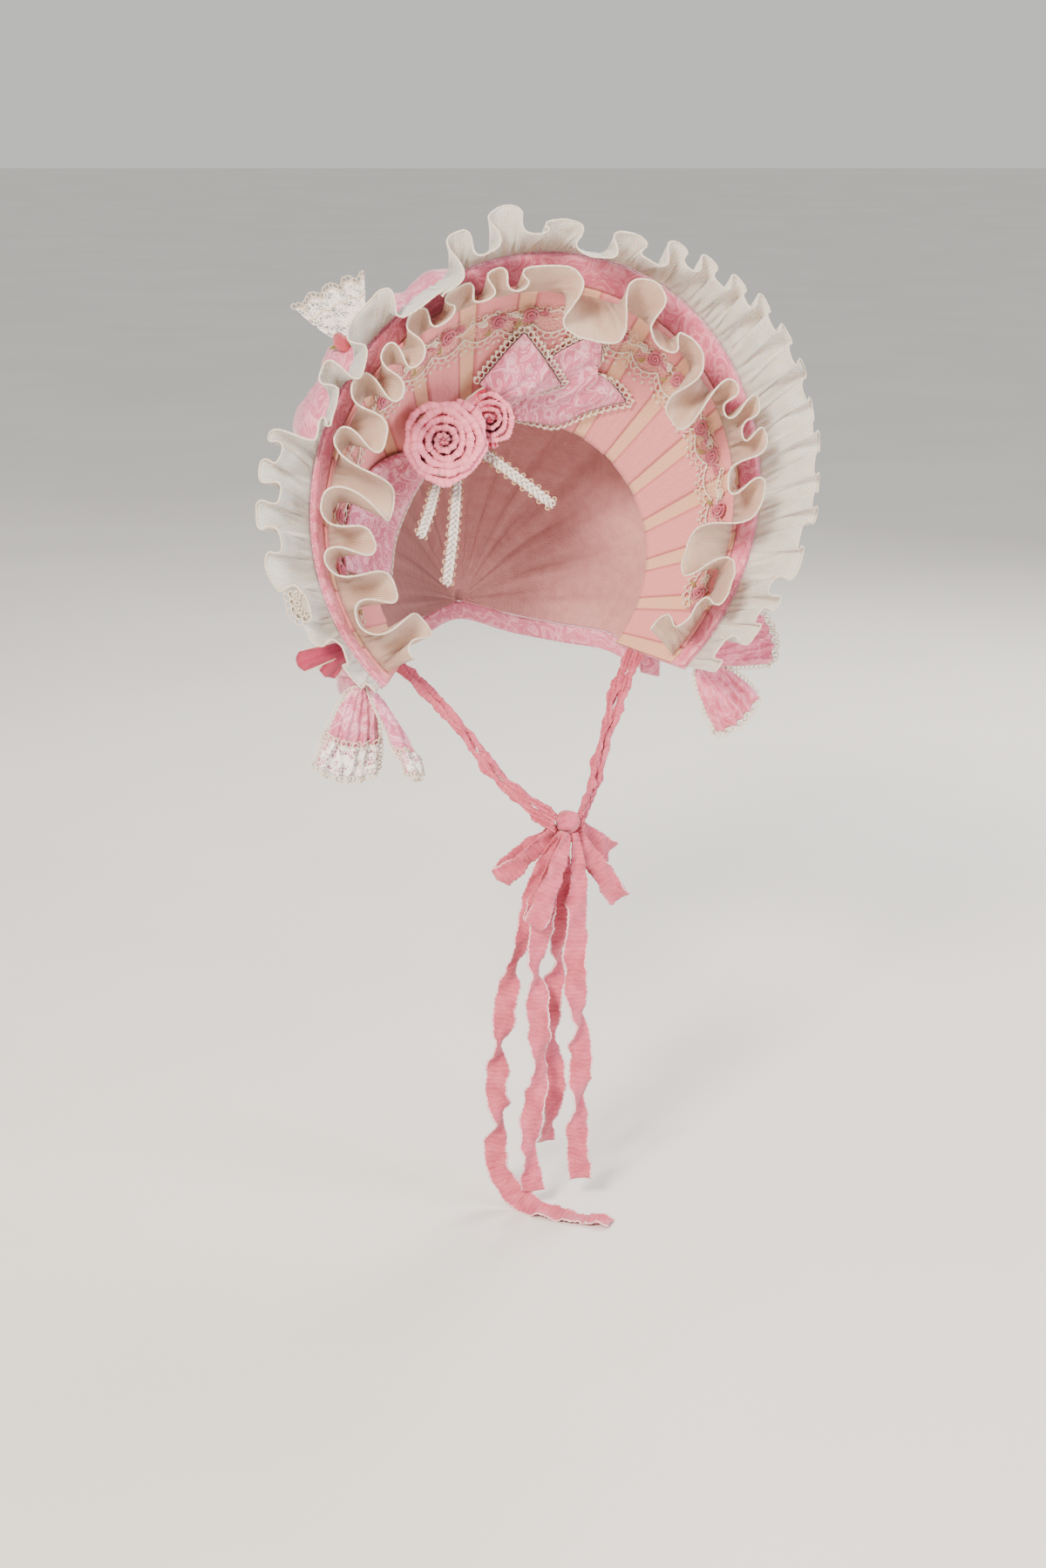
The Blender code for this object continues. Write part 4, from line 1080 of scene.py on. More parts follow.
@dataclass
class RoseLace:
    """Net band with a scalloped picot edge and a row of embroidered roses."""

    start: float = 0.615
    end: float = 0.725
    reach: float = 0.86
    scallops: int = 22
    scallop_depth: float = 0.055
    roses: int = 19
    rose_radius: float = 0.0056
    leaf_size: tuple[float, float] = (0.0055, 0.0026)
    net_wall: float = 0.0003
    net_lift: float = 0.0004
    rim_lift: float = 0.0006
    vine_lift: float = 0.0007
    rose_lift: float = 0.0010
    thread: float = 0.0005

    def edge(self, samples: int) -> tuple[Array, Array]:
        """Return place round the brim and share of its width along the scalloped edge."""
        phase = np.linspace(0, self.scallops, samples)
        u = self.reach * (2 * phase / self.scallops - 1)
        return u, self.start - self.scallop_depth * np.abs(np.sin(math.pi * phase)) ** 0.8

    def dress(self) -> None:
        """Make the net, and its edging and roses as a piece that lies on it."""
        u, low = self.edge(self.scallops * 16 + 1)
        share = np.linspace(0, 1, 5)[None, :]
        r = low[:, None] * (1 - share) + self.end * share
        lift = BRIM.lace_back + self.net_lift
        wide = np.broadcast_to(u[:, None], r.shape)
        net = BRIM.at(wide, r, np.full_like(r, lift))
        shape = Shape()
        for shrink, size in ((0.0, SCALLOP_PICOTS), (-0.062, SCALLOP_EYES)):
            point, _, out_way, normal = BRIM.frame(u, low + shrink)
            rim = point + normal * (lift + self.rim_lift)
            shape.add(picot_rings(rim, -out_way, normal, size))
        point, _, out_way, normal = BRIM.frame(u, low)
        shape.add(thread_line(point + normal * (lift + self.rim_lift), normal, self.thread))
        vine = np.linspace(-self.reach, self.reach, 600)
        wave = 0.676 + 0.020 * np.sin(vine * 47) + 0.010 * np.sin(vine * 131 + 1)
        point, _, out_way, normal = BRIM.frame(vine, wave)
        shape.add(thread_line(point + normal * (lift + self.vine_lift), normal, self.thread))
        rim = point + normal * (lift + self.rim_lift)
        shape.add(picot_rings(rim, out_way, normal, VINE_PICOTS))
        middle = np.linspace(-self.reach * 0.96, self.reach * 0.96, self.roses)
        for number, at in enumerate(middle):
            at += 0.012 * (-1) ** number
            spot = 0.672 + 0.014 * math.sin(number * 2.1)
            centre, along, out, normal = BRIM.frame(at, spot)
            centre = centre + normal * (lift + self.rose_lift)
            shape.add(spiral_rose(centre, out, along, normal, self.rose_radius), 1)
            for turn in (-1, 1):
                side = centre + along * turn * self.rose_radius * 1.75
                small = spiral_rose(side, along, out, normal, self.rose_radius * 0.55)
                shape.add(small, max(turn, 0))
            tip = centre - (along * 0.9 + out * 0.9) * self.rose_radius
            shape.add(leaf(tip, unit(-along - out), unit(along - out), *self.leaf_size), 2)
        roses = shape.piece("embroidered_roses", [LACE_THREAD, LACE_ROSE, LACE_LEAF], "lace")
        flat = (flat_size(net), Held.LAID)
        Shape().add(cloth(net, self.net_wall)).piece(
            "rose_lace_net", [LACE_NET], "lace", ["rose_lace"], flat, trims=[roses]
        )


def laced_edge(shape: Shape, path: Array, side: Array, up: Array, look: int, dark: int) -> None:
    """Trim an edge with dark piping and a row of cream picots. The dark line is real piping on
    upper edges and painted shadow on lower ones.

    Args:
        shape: shape to add to.
        path: points of the edge.
        side: way out over the edge.
        up: way off the cloth.
        look: number of the picots' finish.
        dark: number of the finish of the piping and painted edge shadow.
    """
    # Dark line: piping, and painted shadow where the edge is a lower one
    shape.add(thread_line(path + side * 0.0003, up, PIPING_RADIUS), dark)
    shape.add(picot_rings(path + side * 0.0008, side, up, BOW_PICOTS), look)
    shape.add(picot_rings(path + side * 0.0038, side, up, BOW_EYES), look)


# ---------------------------------------------------------------- bow, roses and braids

# Columns: place round the brim and share of its width, first edge then second edge
BOW_LOOP_ROWS = (
    (-0.118, 0.320, -0.035, 0.120),
    (-0.085, 0.400, 0.015, 0.175),
    (-0.050, 0.500, 0.065, 0.230),
    (-0.021, 0.585, 0.107, 0.290),
)
BOW_TAIL_ROWS = (
    (-0.010, 0.110, 0.020, 0.020),
    (0.030, 0.300, 0.085, 0.018),
    (0.065, 0.430, 0.151, 0.040),
    (0.110, 0.540, 0.220, 0.200),
    (0.154, 0.632, 0.289, 0.360),
)
BOW_TAIL_NOTCH = (0.169, 0.388)
BOW_PANEL_ROWS = (
    (-0.330, 0.100, -0.335, -0.120),
    (-0.420, 0.280, -0.430, -0.170),
    (-0.520, 0.440, -0.545, -0.200),
    (-0.640, 0.560, -0.680, -0.210),
    (-0.740, 0.620, -0.780, -0.060),
)


@dataclass
class Bow:
    """Big damask bow beside the roses: one loop, one notched tail and one long panel."""

    wall: float = 0.0018
    puff: float = 0.011
    scoop: float = 0.006

    def sides(
        self,
        rows: tuple,
        lift: float,
        puff: float = 0.0,
        scoop: float = 0.0,
        notch: tuple[float, float] | None = None,
        folds: float = 0.0,
    ) -> tuple[Array, Array]:
        """Return the front and back grids of a panel between its two long edges.

        The front is lifted by wall + puff * dome, where the dome is a half sine across
        that swells along the panel, and shallow folds fan out along it.

        Args:
            rows: table of the two long edges.
            lift: lift of the panel's back.
            puff: height of the dome.
            scoop: how far the panel rises between its edges and its middle.
            notch: place and width share of the notch at the far end.
            folds: depth of the folds.

        Returns:
            Front and back grids.
        """
        fine = through(rows, 49)
        across = np.linspace(0, 1, 33)[None, :]
        u = fine[:, :1] * (1 - across) + fine[:, 2:3] * across
        r = fine[:, 1:2] * (1 - across) + fine[:, 3:4] * across
        along = np.linspace(0, 1, 49)[:, None]
        if notch is not None:
            pull = (1 - np.abs(across - 0.5) * 2) * np.clip((along - 0.8) / 0.2, 0, 1)
            u = u * (1 - pull) + notch[0] * pull
            r = r * (1 - pull) + notch[1] * pull
        dome = np.sin(math.pi * across) * (0.10 + 0.90 * np.sin(math.pi * along * 0.75))
        lower = lift + scoop * np.sin(math.pi * across * 2) ** 2 * along
        still = np.sin(math.pi * across) ** 0.5
        wave = 0.5 + 0.5 * np.sin(across * 21 + 2.2 * along + 0.8)
        wave = wave + 0.35 * ripple(across * 9, along * 3, 2.0)
        upper = lower + self.wall + puff * dome + folds * still * wave
        return BRIM.at(u, r, upper), BRIM.at(u, r, np.broadcast_to(lower, u.shape))

    def trimmed(self, grids: tuple[Array, Array], edges: Sequence[str]) -> Shape:
        """Return a panel closed between its grids, with lace along the named edges."""
        front, back = grids
        shape = Shape().add(slab(front[::-1], back[::-1]))
        up = -surface_normals(front)
        middle = (front + back) / 2
        along = unit(np.gradient(middle, axis=0))
        across = unit(np.gradient(middle, axis=1))
        rims = {
            "first": (middle[:, 0], -across[:, 0], up[:, 1]),
            "second": (middle[:, -1], across[:, -1], up[:, -2]),
            "end": (middle[-1], along[-1], up[-2]),
        }
        for edge in edges:
            laced_edge(shape, *rims[edge], 1, 2)
        return shape

    def dress(self) -> None:
        """Make the loop, the tail and the panel with their lace."""
        looks = [BOW_DAMASK, LACE_THREAD, PIPING_AND_EDGE_SHADOW]
        tail_back = BRIM.bow_back
        loop_back = tail_back + self.wall + GAP + FACET_ROOM * 2
        loop = self.sides(BOW_LOOP_ROWS, loop_back, puff=self.puff, folds=0.0022)
        self.trimmed(loop, ("first", "second", "end")).piece(
            "bow_loop_damask", looks, "damask", ["bow_loop"], fill=0.4
        )
        tail = self.sides(BOW_TAIL_ROWS, tail_back, notch=BOW_TAIL_NOTCH, folds=0.0018)
        self.trimmed(tail, ("first", "second", "end")).piece(
            "bow_tail_damask", looks, "damask", ["bow_tail"], (flat_size(tail[0]), Held.LAID)
        )
        panel = self.sides(BOW_PANEL_ROWS, BRIM.bow_back, scoop=self.scoop, folds=0.0022)
        self.trimmed(panel, ("second",)).piece(
            "bow_panel_damask", looks, "damask", ["bow_panel"], (flat_size(panel[0]), Held.LAID)
        )


# Columns: radius share, depth share, from the back round the rim to the front
ROSE_PROFILE = (
    (0.30, 0.00),
    (0.62, 0.14),
    (0.92, 0.42),
    (1.00, 0.68),
    (0.90, 0.92),
    (0.66, 1.00),
    (0.42, 0.90),
    (0.20, 0.96),
)

# Turn in radians and share of the bud's radius, for each bead
BEAD_PLACES = ((0.2, 0.5), (1.4, 0.75), (2.7, 0.55), (3.9, 0.85), (5.2, 0.6), (0.9, 0.0))


@dataclass
class RolledRose:
    """Rose rolled from a folded strip of crinkled gauze."""

    name: str
    node: str
    at: tuple[float, float]
    radius: float
    depth: float
    stand: float
    turns: float
    turn: float = 0.55
    faces: tuple[float, float, float] = (-0.30, -0.92, 0.25)
    stem_share: float = 0.22
    front_turn: float = 0.15
    petal: bool = False
    petal_wall: float = 0.0008
    bead_radius: float = 0.00075

    def seat(self) -> tuple[Array, Array, float]:
        """Return the point on the brim, the rose's axis and how far its back stands off."""
        point, _, _, normal = BRIM.frame(*self.at)
        axis = unit(normal * self.turn + unit(np.array(self.faces)) * (1 - self.turn))
        lean = float(np.dot(axis, normal))
        stem = self.radius * self.stem_share
        foot = (BRIM.lining_front + GAP + stem * 1.05 * math.sqrt(1 - lean**2)) / lean
        return point, axis, foot

    def facing(self, back: Array, axis: Array) -> tuple[Array, Array, tuple]:
        """Return the foot of the rolls, the way they face and the frame on that way."""
        _, _, _, normal = BRIM.frame(*self.at)
        faces = unit(np.array(self.faces))
        front = unit(normal * self.front_turn + faces * (1 - self.front_turn))
        return back + (axis - front) * self.depth * 0.3, front, frame_on(front)

    def strip(self, back: Array, axis: Array) -> Part:
        """Return the rolled strip: a closed outline carried along a spiral.

        At spiral share s the strip stands from the back cone up to the rose's front, its
        radius is radius * s ** 0.92 with uneven lobes that drift from turn to turn, and its
        folded top edge rolls outward.
        """
        back, _, (across, up, along) = self.facing(back, axis)
        steps = int(110 * self.turns)
        angle = np.linspace(0.0, self.turns * 2 * math.pi, steps)
        share = (angle + 1.2) / (angle[-1] + 1.2)
        table = np.array(ROSE_PROFILE)
        low = np.interp(share, table[:4, 0], table[:4, 1]) * self.depth
        high = np.interp(share, table[:2:-1, 0], table[:2:-1, 1]) * self.depth
        lobes = 1 + 0.050 * np.cos(2.73 * angle + 0.6) + 0.030 * np.sin(5.31 * angle)
        lobes = lobes + 0.010 * np.sin(13.3 * angle)
        middle = self.radius * 0.95 * share**0.92 * lobes
        thick = self.radius * (0.062 + 0.026 * share) * (1 + 0.16 * np.sin(9.1 * angle))
        rise = high - low + 0.0012 * np.sin(2.9 * angle) + 0.0005 * np.sin(21.0 * angle)
        # Outline of the folded strip. Columns: side in thicknesses, height share
        outline = np.array([
            (0.8, 0.0), (0.9, 0.45), (1.0, 0.78), (1.5, 0.90), (1.4, 0.98), (0.7, 1.03),
            (-0.1, 1.02), (-0.8, 0.95), (-0.9, 0.80), (-0.8, 0.40), (-0.8, 0.0),
        ])
        lean = 0.30 * share
        side = middle[:, None] + outline[:, 0] * thick[:, None]
        side = side + outline[:, 1] ** 2 * rise[:, None] * lean[:, None] * 0.5
        crinkle = np.sin(63.0 * angle + 4.0 * np.sin(5.0 * angle))[:, None]
        side = side + 0.00034 * crinkle * outline[:, 1]
        crease = 0.00060 * np.sin(47.0 * angle + 3.0 * np.sin(7.0 * angle))[:, None]
        crease = crease * outline[:, 1]
        height = low[:, None] + outline[:, 1] * rise[:, None] + crease
        cosine = np.cos(angle)[:, None, None]
        sine = np.sin(angle)[:, None, None]
        rings = back + side[..., None] * (cosine * across + sine * up) + height[..., None] * along
        count = len(outline)
        index = np.arange(steps * count).reshape(steps, count)
        after = np.roll(index, -1, axis=1)
        quads = np.stack([index[:-1], index[1:], after[1:], after[:-1]], -1).reshape(-1, 4)
        far = travelled(rings[:, 5])[:, None] * np.ones(count)
        places = np.stack([far, np.broadcast_to(outline[:, 1] * 0.01, far.shape)], -1)
        return rings.reshape(-1, 3), [quads, index[:1], index[-1:, ::-1]], places.reshape(-1, 2)

    def dress(self) -> None:
        """Make the strip and the cone and stem that carry it."""
        point, axis, foot = self.seat()
        back = point + axis * (foot + self.stand)
        stem = self.radius * self.stem_share
        top = foot + self.stand
        cone = [(stem, foot), (stem, top - 0.0005)]
        cone += [(self.radius * r * 0.86, top + self.depth * d) for r, d in ROSE_PROFILE[:3]]
        cone += [(self.radius * 0.25, top + self.depth * 0.40)]
        body = turned(np.array(cone), point, axis, lambda a, h: 1 + 0.03 * np.cos(5 * a + 0.6))
        shape = Shape().add(self.strip(back, axis)).add(body, 1)
        self.add_heart(shape, back, axis)
        looks = [ROSE_GAUZE, ROSE_BACK, ROSE_BEAD, EDGE_THREAD]
        shape.piece(self.name, looks, "rose", [self.node])

    def add_heart(self, shape: Shape, back: Array, axis: Array) -> None:
        """Add the tight bud and the seed beads at the rose's middle, and a puffed petal."""
        back, front, (across, up, _) = self.facing(back, axis)
        wide, deep = self.radius * 0.13, self.depth
        if self.petal:
            root = back + front * deep * 0.55 + (up * 0.75 - across * 0.45) * self.radius * 0.75
            out = unit(up * 0.80 - across * 0.60 + front * 0.25)
            puffed, thick, puff, _ = fan_grid(
                root, out, np.cross(front, out), 0.0085, (0.008, 0.017), 2, 0.0004, 0.5
            )
            puffed = puffed + (0.0022 * thick)[..., None] * puff
            shape.add(cloth(puffed, self.petal_wall))
            shape.add(thread_line(puffed[-1], puff, HEM_THREAD), 3)
        bud = [(wide * r, deep * d) for r, d in ((0.6, 0.3), (1, 0.70), (0.8, 0.86), (0.2, 0.90))]
        bud = turned(np.array(bud), back, front, lambda a, h: 1 + 0.16 * np.cos(3 * a + 4 * h), 24)
        shape.add(bud)
        bead = ball(self.bead_radius, 0.2, 6)
        for turn, share in BEAD_PLACES:
            spot = across * math.cos(turn) + up * math.sin(turn)
            seat = back + spot * wide * share + front * (deep * (0.90 - 0.05 * share))
            shape.add(turned(bead, seat, front, lambda a, h: 1.0 + 0 * a, 8), 2)


LARGE_ROSE = RolledRose(
    "rolled_rose_large", "rose_large", (-0.258, 0.125), 0.0255, 0.019, 0.016, 5.2
)
SMALL_ROSE = RolledRose(
    "rolled_rose_small", "rose_small", (-0.088, 0.090), 0.0165, 0.012, 0.015, 3.8, petal=True
)

# Columns: start across and up behind the large rose as shares of its radius, then the
# end's x, y, z and the sag as shares of the head half width
BRAID_ROUTES = (
    (0.84, -0.30, 0.110, -0.596, -0.478, 0.05),
    (-0.04, -0.74, -0.800, -0.560, -0.650, 0.03),
    (0.30, -0.70, -0.650, -0.660, -0.960, 0.04),
)


@dataclass
class Braid:
    """Cotton braid of three strands with picots, which hangs from the large rose."""

    number: int
    route: tuple
    width: float = 0.0068
    tuck: float = 0.0008
    step: float = 0.0006
    strand_share: float = 0.165
    pitch: float = 0.0125

    def path(self) -> Array:
        """Return the braid's line, from behind the rose to its free end."""
        point, axis, foot = LARGE_ROSE.seat()
        rose_back = point + axis * (foot + LARGE_ROSE.stand)
        level = -unit(np.cross(axis, [0.0, 0.0, 1.0]))
        rise = -np.cross(level, axis)
        out = level * self.route[0] + rise * self.route[1]
        share = float(np.linalg.norm(out))
        table = np.array(ROSE_PROFILE)[:4]
        depth = np.interp(share * 0.95, table[:, 0], table[:, 1]) * LARGE_ROSE.depth
        back = depth - self.width / 2 - GAP + self.tuck
        start = rose_back + out * LARGE_ROSE.radius + axis * back
        past = rose_back + unit(out) * (LARGE_ROSE.radius * 1.05 + self.width / 2) + axis * back
        end = np.array(self.route[2:5]) * BRIM.head.half_width
        middle = (past + end) / 2
        middle[1] -= self.route[5] * BRIM.head.half_width
        return through(np.stack([start, past, middle, end]), 14)

    def dress(self) -> None:
        """Make the braid.

        Strand k runs at 0.33 * width * sin(p) to the side and 0.17 * width * sin(2 p) off,
        where p is the turn along the braid plus k thirds of a turn.
        """
        path = self.path()
        length = float(travelled(path)[-1])
        fine = evenly(path, int(length / self.step))
        way = unit(np.gradient(fine, axis=0))
        off = unit(np.cross(way, np.cross([0.2, -1.0, 0.1], way)))
        side = np.cross(way, off)
        turn = travelled(fine) / self.pitch * 2 * math.pi
        phases = turn[None, :] + np.arange(3)[:, None] * 2 * math.pi / 3
        strands = (
            fine
            + side * (0.33 * self.width * np.sin(phases))[..., None]
            + off * (0.17 * self.width * np.sin(2 * phases))[..., None]
        )
        ease = np.clip(np.minimum(np.arange(len(fine)), np.arange(len(fine))[::-1]) / 5, 0.35, 1)
        radius = self.strand_share * self.width * np.sqrt(ease) * np.ones((3, 1))
        shape = Shape().add(threads(strands, np.broadcast_to(off, strands.shape), radius, 10))
        for way_out in (-1, 1):
            edge = fine[4:-4] + side[4:-4] * way_out * 0.36 * self.width
            shape.add(picot_rings(edge, side[4:-4] * way_out, off[4:-4], BRAID_PICOTS), 1)
        made = shape.piece(
            f"braid_{self.number}_cotton", [BRAID_COTTON, PICOT], "braid", [f"braid_{self.number}"]
        )
        LOG.info("braid_%d: %.1f mm long", self.number, length * 1000)


# ---------------------------------------------------------------- crown and its trimmings

# Columns: half width, top back, top rise, tip back, tip drop, gather share
CROWN_SECTIONS = (
    (0.850, 0.030, 0.480, 0.060, 0.960, 0.90),
    (0.970, 0.110, 0.865, 0.080, 0.985, 1.00),
    (1.000, 0.310, 1.000, 0.220, 1.000, 0.75),
    (0.957, 0.555, 0.907, 0.390, 0.988, 0.55),
    (0.821, 0.780, 0.577, 0.540, 0.940, 0.45),
    (0.586, 0.930, 0.082, 0.680, 0.920, 0.35),
    (0.300, 1.000, -0.515, 0.840, 0.890, 0.20),
)


@dataclass
class Crown:
    """Puffed damask crown, gathered onto the brim, with a band along the nape."""

    half_width: float = 0.140
    depth: float = 0.133
    rise: float = 0.097
    tip_drop: float = 0.162
    seat: float = 0.05
    gathers: int = 16
    gather_depth: float = 0.0035
    wall: float = 0.0024
    pole_back: float = 0.963
    pole_drop: float = 0.840
    band_width: float = 0.012
    columns: int = 417
    rows: int = 57

    def sections(self, columns: int) -> tuple[Array, Array]:
        """Return the crown's arches, from the seat on the brim back, and the pole."""
        u = np.linspace(-1, 1, columns)
        seat = np.full_like(u, -(BRIM.wall / 2 + GAP + self.wall / 2))
        rows = [BRIM.at(u, self.seat, seat)]
        fold = np.cos(u * math.pi * self.gathers) * (1 - u**8)
        for wide, top_back, top_rise, tip_back, tip_drop, gather in CROWN_SECTIONS:
            arch = Arch(
                self.half_width * wide,
                130.0,
                self.depth * top_back,
                self.rise * top_rise,
                self.depth * tip_back,
                -self.tip_drop * tip_drop,
            ).at(u)
            outward = unit(arch - arch.mean(axis=0))
            rows.append(arch + outward * (self.gather_depth * gather * fold)[:, None])
        pole = np.array([0.0, self.depth * self.pole_back, -self.tip_drop * self.pole_drop])
        return np.stack(rows), pole

    def surface(self) -> Array:
        """Return the middle surface, smoothed through the sections, down to the pole.

        Fine gathers run back from the seat and die out over the first half, and soft
        wrinkles lie over the rest.
        """
        rows, pole = self.sections(self.columns)
        rows = np.concatenate([rows, np.broadcast_to(pole, rows[:1].shape)])
        grid = through(rows, self.rows)
        u = np.linspace(-1, 1, self.columns)[None, :]
        share = np.linspace(0, 1, self.rows)[:, None]
        normal = surface_normals(grid)
        fine = 0.0011 * np.sin(u * math.pi * 61 + 2.5 * np.sin(u * 17)) * np.exp(-3.0 * share)
        soft = 0.0009 * ripple(u * 26, share * 7, 2.0)
        fade = np.clip(share * 12, 0, 1) * np.clip((1 - share) * 6, 0, 1)
        fade = fade * np.clip((1 - np.abs(u)) * 12, 0, 1)
        return grid + normal * ((fine + soft) * fade)[..., None]

    def frame(self, u: float, share: float) -> tuple[Array, Array]:
        """Return a point on the crown's middle surface and its outward normal."""
        rows, _ = self.sections(53)
        across = (u + 1) / 2 * 52
        column = int(across)
        place = share * (len(rows) - 1)
        row = int(place)
        corner = rows[row : row + 2, column : column + 2]
        down = np.array([1 - place + row, place - row])[:, None, None]
        over = np.array([1 - across + column, across - column])[None, :, None]
        point = (corner * down * over).sum(axis=(0, 1))
        normal = unit(np.cross(corner[1, 0] - corner[0, 0], corner[0, 1] - corner[0, 0]))
        outward = point - np.array([0.0, point[1], -0.04])
        return point, normal * np.sign(np.dot(normal, outward))

    def dress(self) -> None:
        """Make the shell, in damask outside and plain cotton inside, and the nape band."""
        grid = self.surface()
        normal = surface_normals(grid)
        normal[-1] = unit(normal[-2].mean(axis=0))
        outer, inner = grid - normal * self.wall / 2, grid + normal * self.wall / 2
        centre = grid.reshape(-1, 3).mean(axis=0)
        if np.einsum("ijk,ijk->", outer - inner, grid - centre) < 0:
            outer, inner = inner, outer
        over = np.linalg.norm(np.diff(grid, axis=1), axis=-1).max(axis=0).sum()
        length = travelled(grid[:, grid.shape[1] // 2])[-1]
        order = slice(None, None, -1) if self.faces_in(outer, centre) else slice(None)
        shape = Shape().add(slab(outer[:, order], inner[:, order]), 0, 1, 0)
        shape.piece(
            "crown_damask",
            [DAMASK, PLAIN_COTTON],
            "damask",
            ["crown"],
            ((float(over), float(length)), Held.GATHERED),
            cut=0.58,
        )
        rows, pole = self.sections(105)
        edge = np.concatenate([rows[1:, 0], pole[None], rows[:0:-1, -1]])
        edge = evenly(through(edge, 240), 120)
        start = GAP + self.wall / 4
        share = np.linspace(0, 1, 7)
        middle = edge[:, None] + DOWN * (start + self.band_width * share)[None, :, None]
        puff = 0.0006 * (1 - (2 * share - 1) ** 4)
        side = surface_normals(middle)
        wall = (0.0018 + puff)[None, :, None]
        slabbed = slab(middle + side * wall / 2, middle - side * wall / 2)
        flat = (flat_size(middle), Held.LAID)
        Shape().add(slabbed).piece("nape_band_damask", [DAMASK], "damask", ["nape_band"], flat)

    @staticmethod
    def faces_in(grid: Array, centre: Array) -> bool:
        """Return whether a grid's normals point toward a centre."""
        return float(np.einsum("ijk,ijk->", surface_normals(grid), grid - centre)) < 0


CROWN = Crown()
# Columns: radius share and length share of a rosebud
BUD_PROFILE = ((0.35, 0.0), (0.80, 0.18), (1.0, 0.45), (0.85, 0.72), (0.46, 0.97), (0.10, 0.90))


@dataclass
class RoseBud:
    """Small satin rosebud with two olive ribbon leaves."""

    number: int
    seat: Array
    axis: Array
    length: float = 0.0150
    radius: float = 0.0052
    leaf_size: tuple[float, float] = (0.0115, 0.0052)

    @staticmethod
    def swell(angle: Array, height: Array) -> Array:
        """Return the radius factor: 0.94 + 0.10 * cos(3 * (angle + 3.4 * height)), eased in.

        It turns with the height as rolled petals do.
        """
        return 0.94 + 0.10 * np.cos(3 * (angle + 3.4 * height)) * np.clip(height * 2.4, 0, 1)

    def dress(self) -> None:
        """Make the bud as a twisted, lobed body, with a leaf on each side."""
        profile = through(np.array(BUD_PROFILE) * [self.radius, self.length], 22)
        shape = Shape().add(turned(profile, self.seat, self.axis, self.swell, 40))
        across, up, along = frame_on(self.axis)
        for turn in (0.5, 3.7):
            way = across * math.cos(turn) + up * math.sin(turn)
            root = self.seat + along * 0.0008
            flat = unit(np.cross(along, way))
            shape.add(leaf(root, unit(way + along * 0.55), flat, *self.leaf_size), 1)
        node = f"rosebud_{self.number}"
        shape.piece(f"{node}_satin", [BUD_SATIN, LEAF], "bud", [node])


def leaf(root: Array, along: Array, across: Array, length: float, width: float) -> Part:
    """Return a ribbon leaf: pointed at both ends, folded along its middle."""
    s = np.linspace(0, 1, 13)[:, None]
    t = np.linspace(-1, 1, 7)[None, :]
    up = np.cross(along, across)
    wide = width * np.sin(math.pi * np.clip(s, 0.02, 0.985)) ** 0.8 / 2
    grid = (
        root
        + (length * s + 0 * t)[..., None] * along
        + (wide * t)[..., None] * across
        + (wide * np.abs(t) * 0.5 + 0.0016 * np.sin(math.pi * s))[..., None] * up
    )
    return cloth(grid, 0.0004)


def fan_grid(
    root: Array,
    along: Array,
    across: Array,
    length: float,
    widths: tuple,
    folds: int,
    depth: float,
    spread: float = 0.8,
) -> tuple[Array, Array, Array, Array]:
    """Return a fan's middle grid with its half thickness, normal and along way.

    Its width grows from root to end as s ** spread, the end is rounded, and folds radiate
    as depth * s * cos(folds * pi * t).
    """
    along = unit(np.asarray(along, float))
    normal = unit(np.cross(along, np.asarray(across, float)))
    across = np.cross(normal, along)
    s = np.linspace(0, 1, 33)[:, None]
    t = np.linspace(-1, 1, 10 * folds + 1)[None, :]
    width = widths[0] + (widths[1] - widths[0]) * s**spread
    reach = length * s * (1 - 0.10 * t**2)
    fold = depth * np.clip(s, 0, 1) ** 0.7 * np.cos(folds * math.pi * t)
    middle = root + reach[..., None] * along + (width * t / 2)[..., None] * across
    middle = middle + fold[..., None] * normal
    thick = np.sin(math.pi * s**0.8) * (1 - t**2)
    return middle, thick, normal, along


# Columns: radius and height of the crochet flower's cupped disc
FLOWER_DISC = ((0.008, 0.0), (0.0145, 0.0014), (0.0150, 0.0024), (0.006, 0.0030), (0.001, 0.0028))


